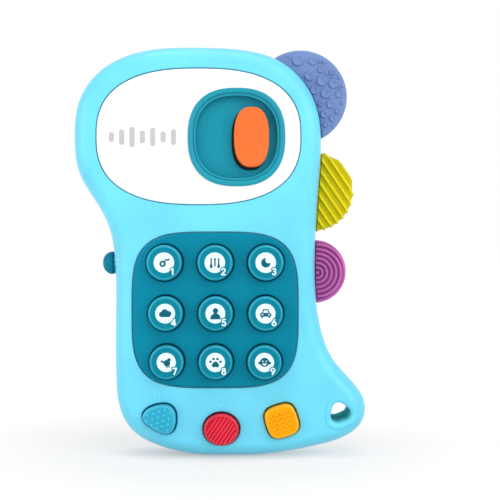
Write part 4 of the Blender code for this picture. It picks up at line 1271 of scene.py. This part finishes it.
def inner_parts():
    """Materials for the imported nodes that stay: the parts inside the case."""
    white = surface("inner white", "dcdcd6", 0.4)
    finishes = {
        "slider_clip": white,
        "slider_retainer": white,
        "key_membrane": surface("rubber sheet", "8f8f8f", 0.6, 0.3),
        "main_board": board_green(),
        "chip_blob": BLACK,
        "capacitor": BLACK,
        "speaker_cone": surface("speaker paper", "26262a", 0.8, 0.5, 0.15),
        "speaker_lead_1": surface("red lead", "b3121a", 0.4),
        "speaker_lead_2": surface("black lead", "151515", 0.4),
    }
    finishes["battery_lead_red"] = finishes["speaker_lead_1"]
    finishes["battery_lead_black"] = finishes["speaker_lead_2"]
    for name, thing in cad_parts.items():
        material = finishes.get(name, BLACK if name.startswith("tact_switch") else STEEL)
        thing.data.materials.clear()
        thing.data.materials.append(material)


# ---------------------------------------------------------------- stage, lights and camera, in metres

def aim(thing, at, target):
    thing.location = at
    thing.rotation_euler = (Vector(target) - Vector(at)).to_track_quat("-Z", "Y").to_euler()
    bpy.context.scene.collection.objects.link(thing)


def stage():
    """A pale floor that glows, least under the phone, where the dip in its glow is a painted shadow, and
    most far away, where it meets the backdrop.
    """
    n = Nodes(bpy.data.materials.new("pale floor"))
    n.put(base_color=n.mix(n.noise(3, 2), (0.27, 0.27, 0.27), (0.29, 0.29, 0.29)))
    n.put(roughness=n.remap(n.noise(20, 2), 0.3, 0.7, 0.75, 0.85), specular_ior_level=0.2)
    glow = n.remap(n.reach((1, 1, 1)), 0.05, 0.3, 0.6, 0.92)
    # Painted shadow: the glow falls away in an ellipse under the phone.
    under = n.remap(n.reach((1.3, 2.8, 1)), 0.0, 0.055, 0.5, 1.0)
    n.put(emission_color=(1, 1, 1, 1), emission_strength=n.math("MULTIPLY", glow, under))
    bpy.ops.mesh.primitive_circle_add(vertices=96, radius=6.0, fill_type="NGON", location=(0, 0, -0.0001))
    floor = bpy.context.object
    floor.name = "floor"
    floor.data.materials.append(n.owner)


def lights():
    """Five soft round lamps, and white surroundings that light dull surfaces less than they are seen."""
    for name, at, size, power in (
        ("key", (0.45, -0.85, 0.65), 1.1, 6.1),
        ("right", (0.85, -0.4, 0.4), 0.6, 2.0),
        ("left", (-0.85, -0.45, 0.3), 0.7, 3.2),
        ("fill", (-0.4, -1.0, 0.25), 0.6, 1.2),
        ("top", (0.0, -0.1, 1.2), 1.0, 4.5),
    ):
        light = bpy.data.lights.new(name, "AREA")
        light.shape = "DISK"
        light.size = size
        light.energy = power
        aim(bpy.data.objects.new(name, light), at, (0.0, 0.0, 0.075))
    n = Nodes(bpy.data.worlds.new("studio"), "Background")
    path = n.node("LightPath", {})
    seen = n.math("MAXIMUM", path["Is Camera Ray"], path["Is Glossy Ray"])
    n.put(color=(1, 1, 1, 1), strength=n.remap(seen, 0.0, 1.0, AMBIENT, 1.0))
    bpy.context.scene.world = n.owner
    bpy.context.scene.view_settings.view_transform = "Standard"


def camera():
    lens = bpy.data.cameras.new("camera")
    lens.lens = 85.9
    lens.clip_start = 0.01
    eye = bpy.data.objects.new("camera", lens)
    x, distance, height = 0.0111, 0.444, 0.0754
    aim(eye, (x, -distance, height), (x, 0.0, height))
    bpy.context.scene.camera = eye


for build in (
    camera, lights, stage, front_shell, face_marks, level_marks, rear_shell, battery_door, screen_panel,
    slider_bezel, slider_plate, eye_slider, keypad_panel, keys, dots, stripes, zigzags, teethers,
    switch_knob, screws, cells, springs, inner_parts,
):
    build()
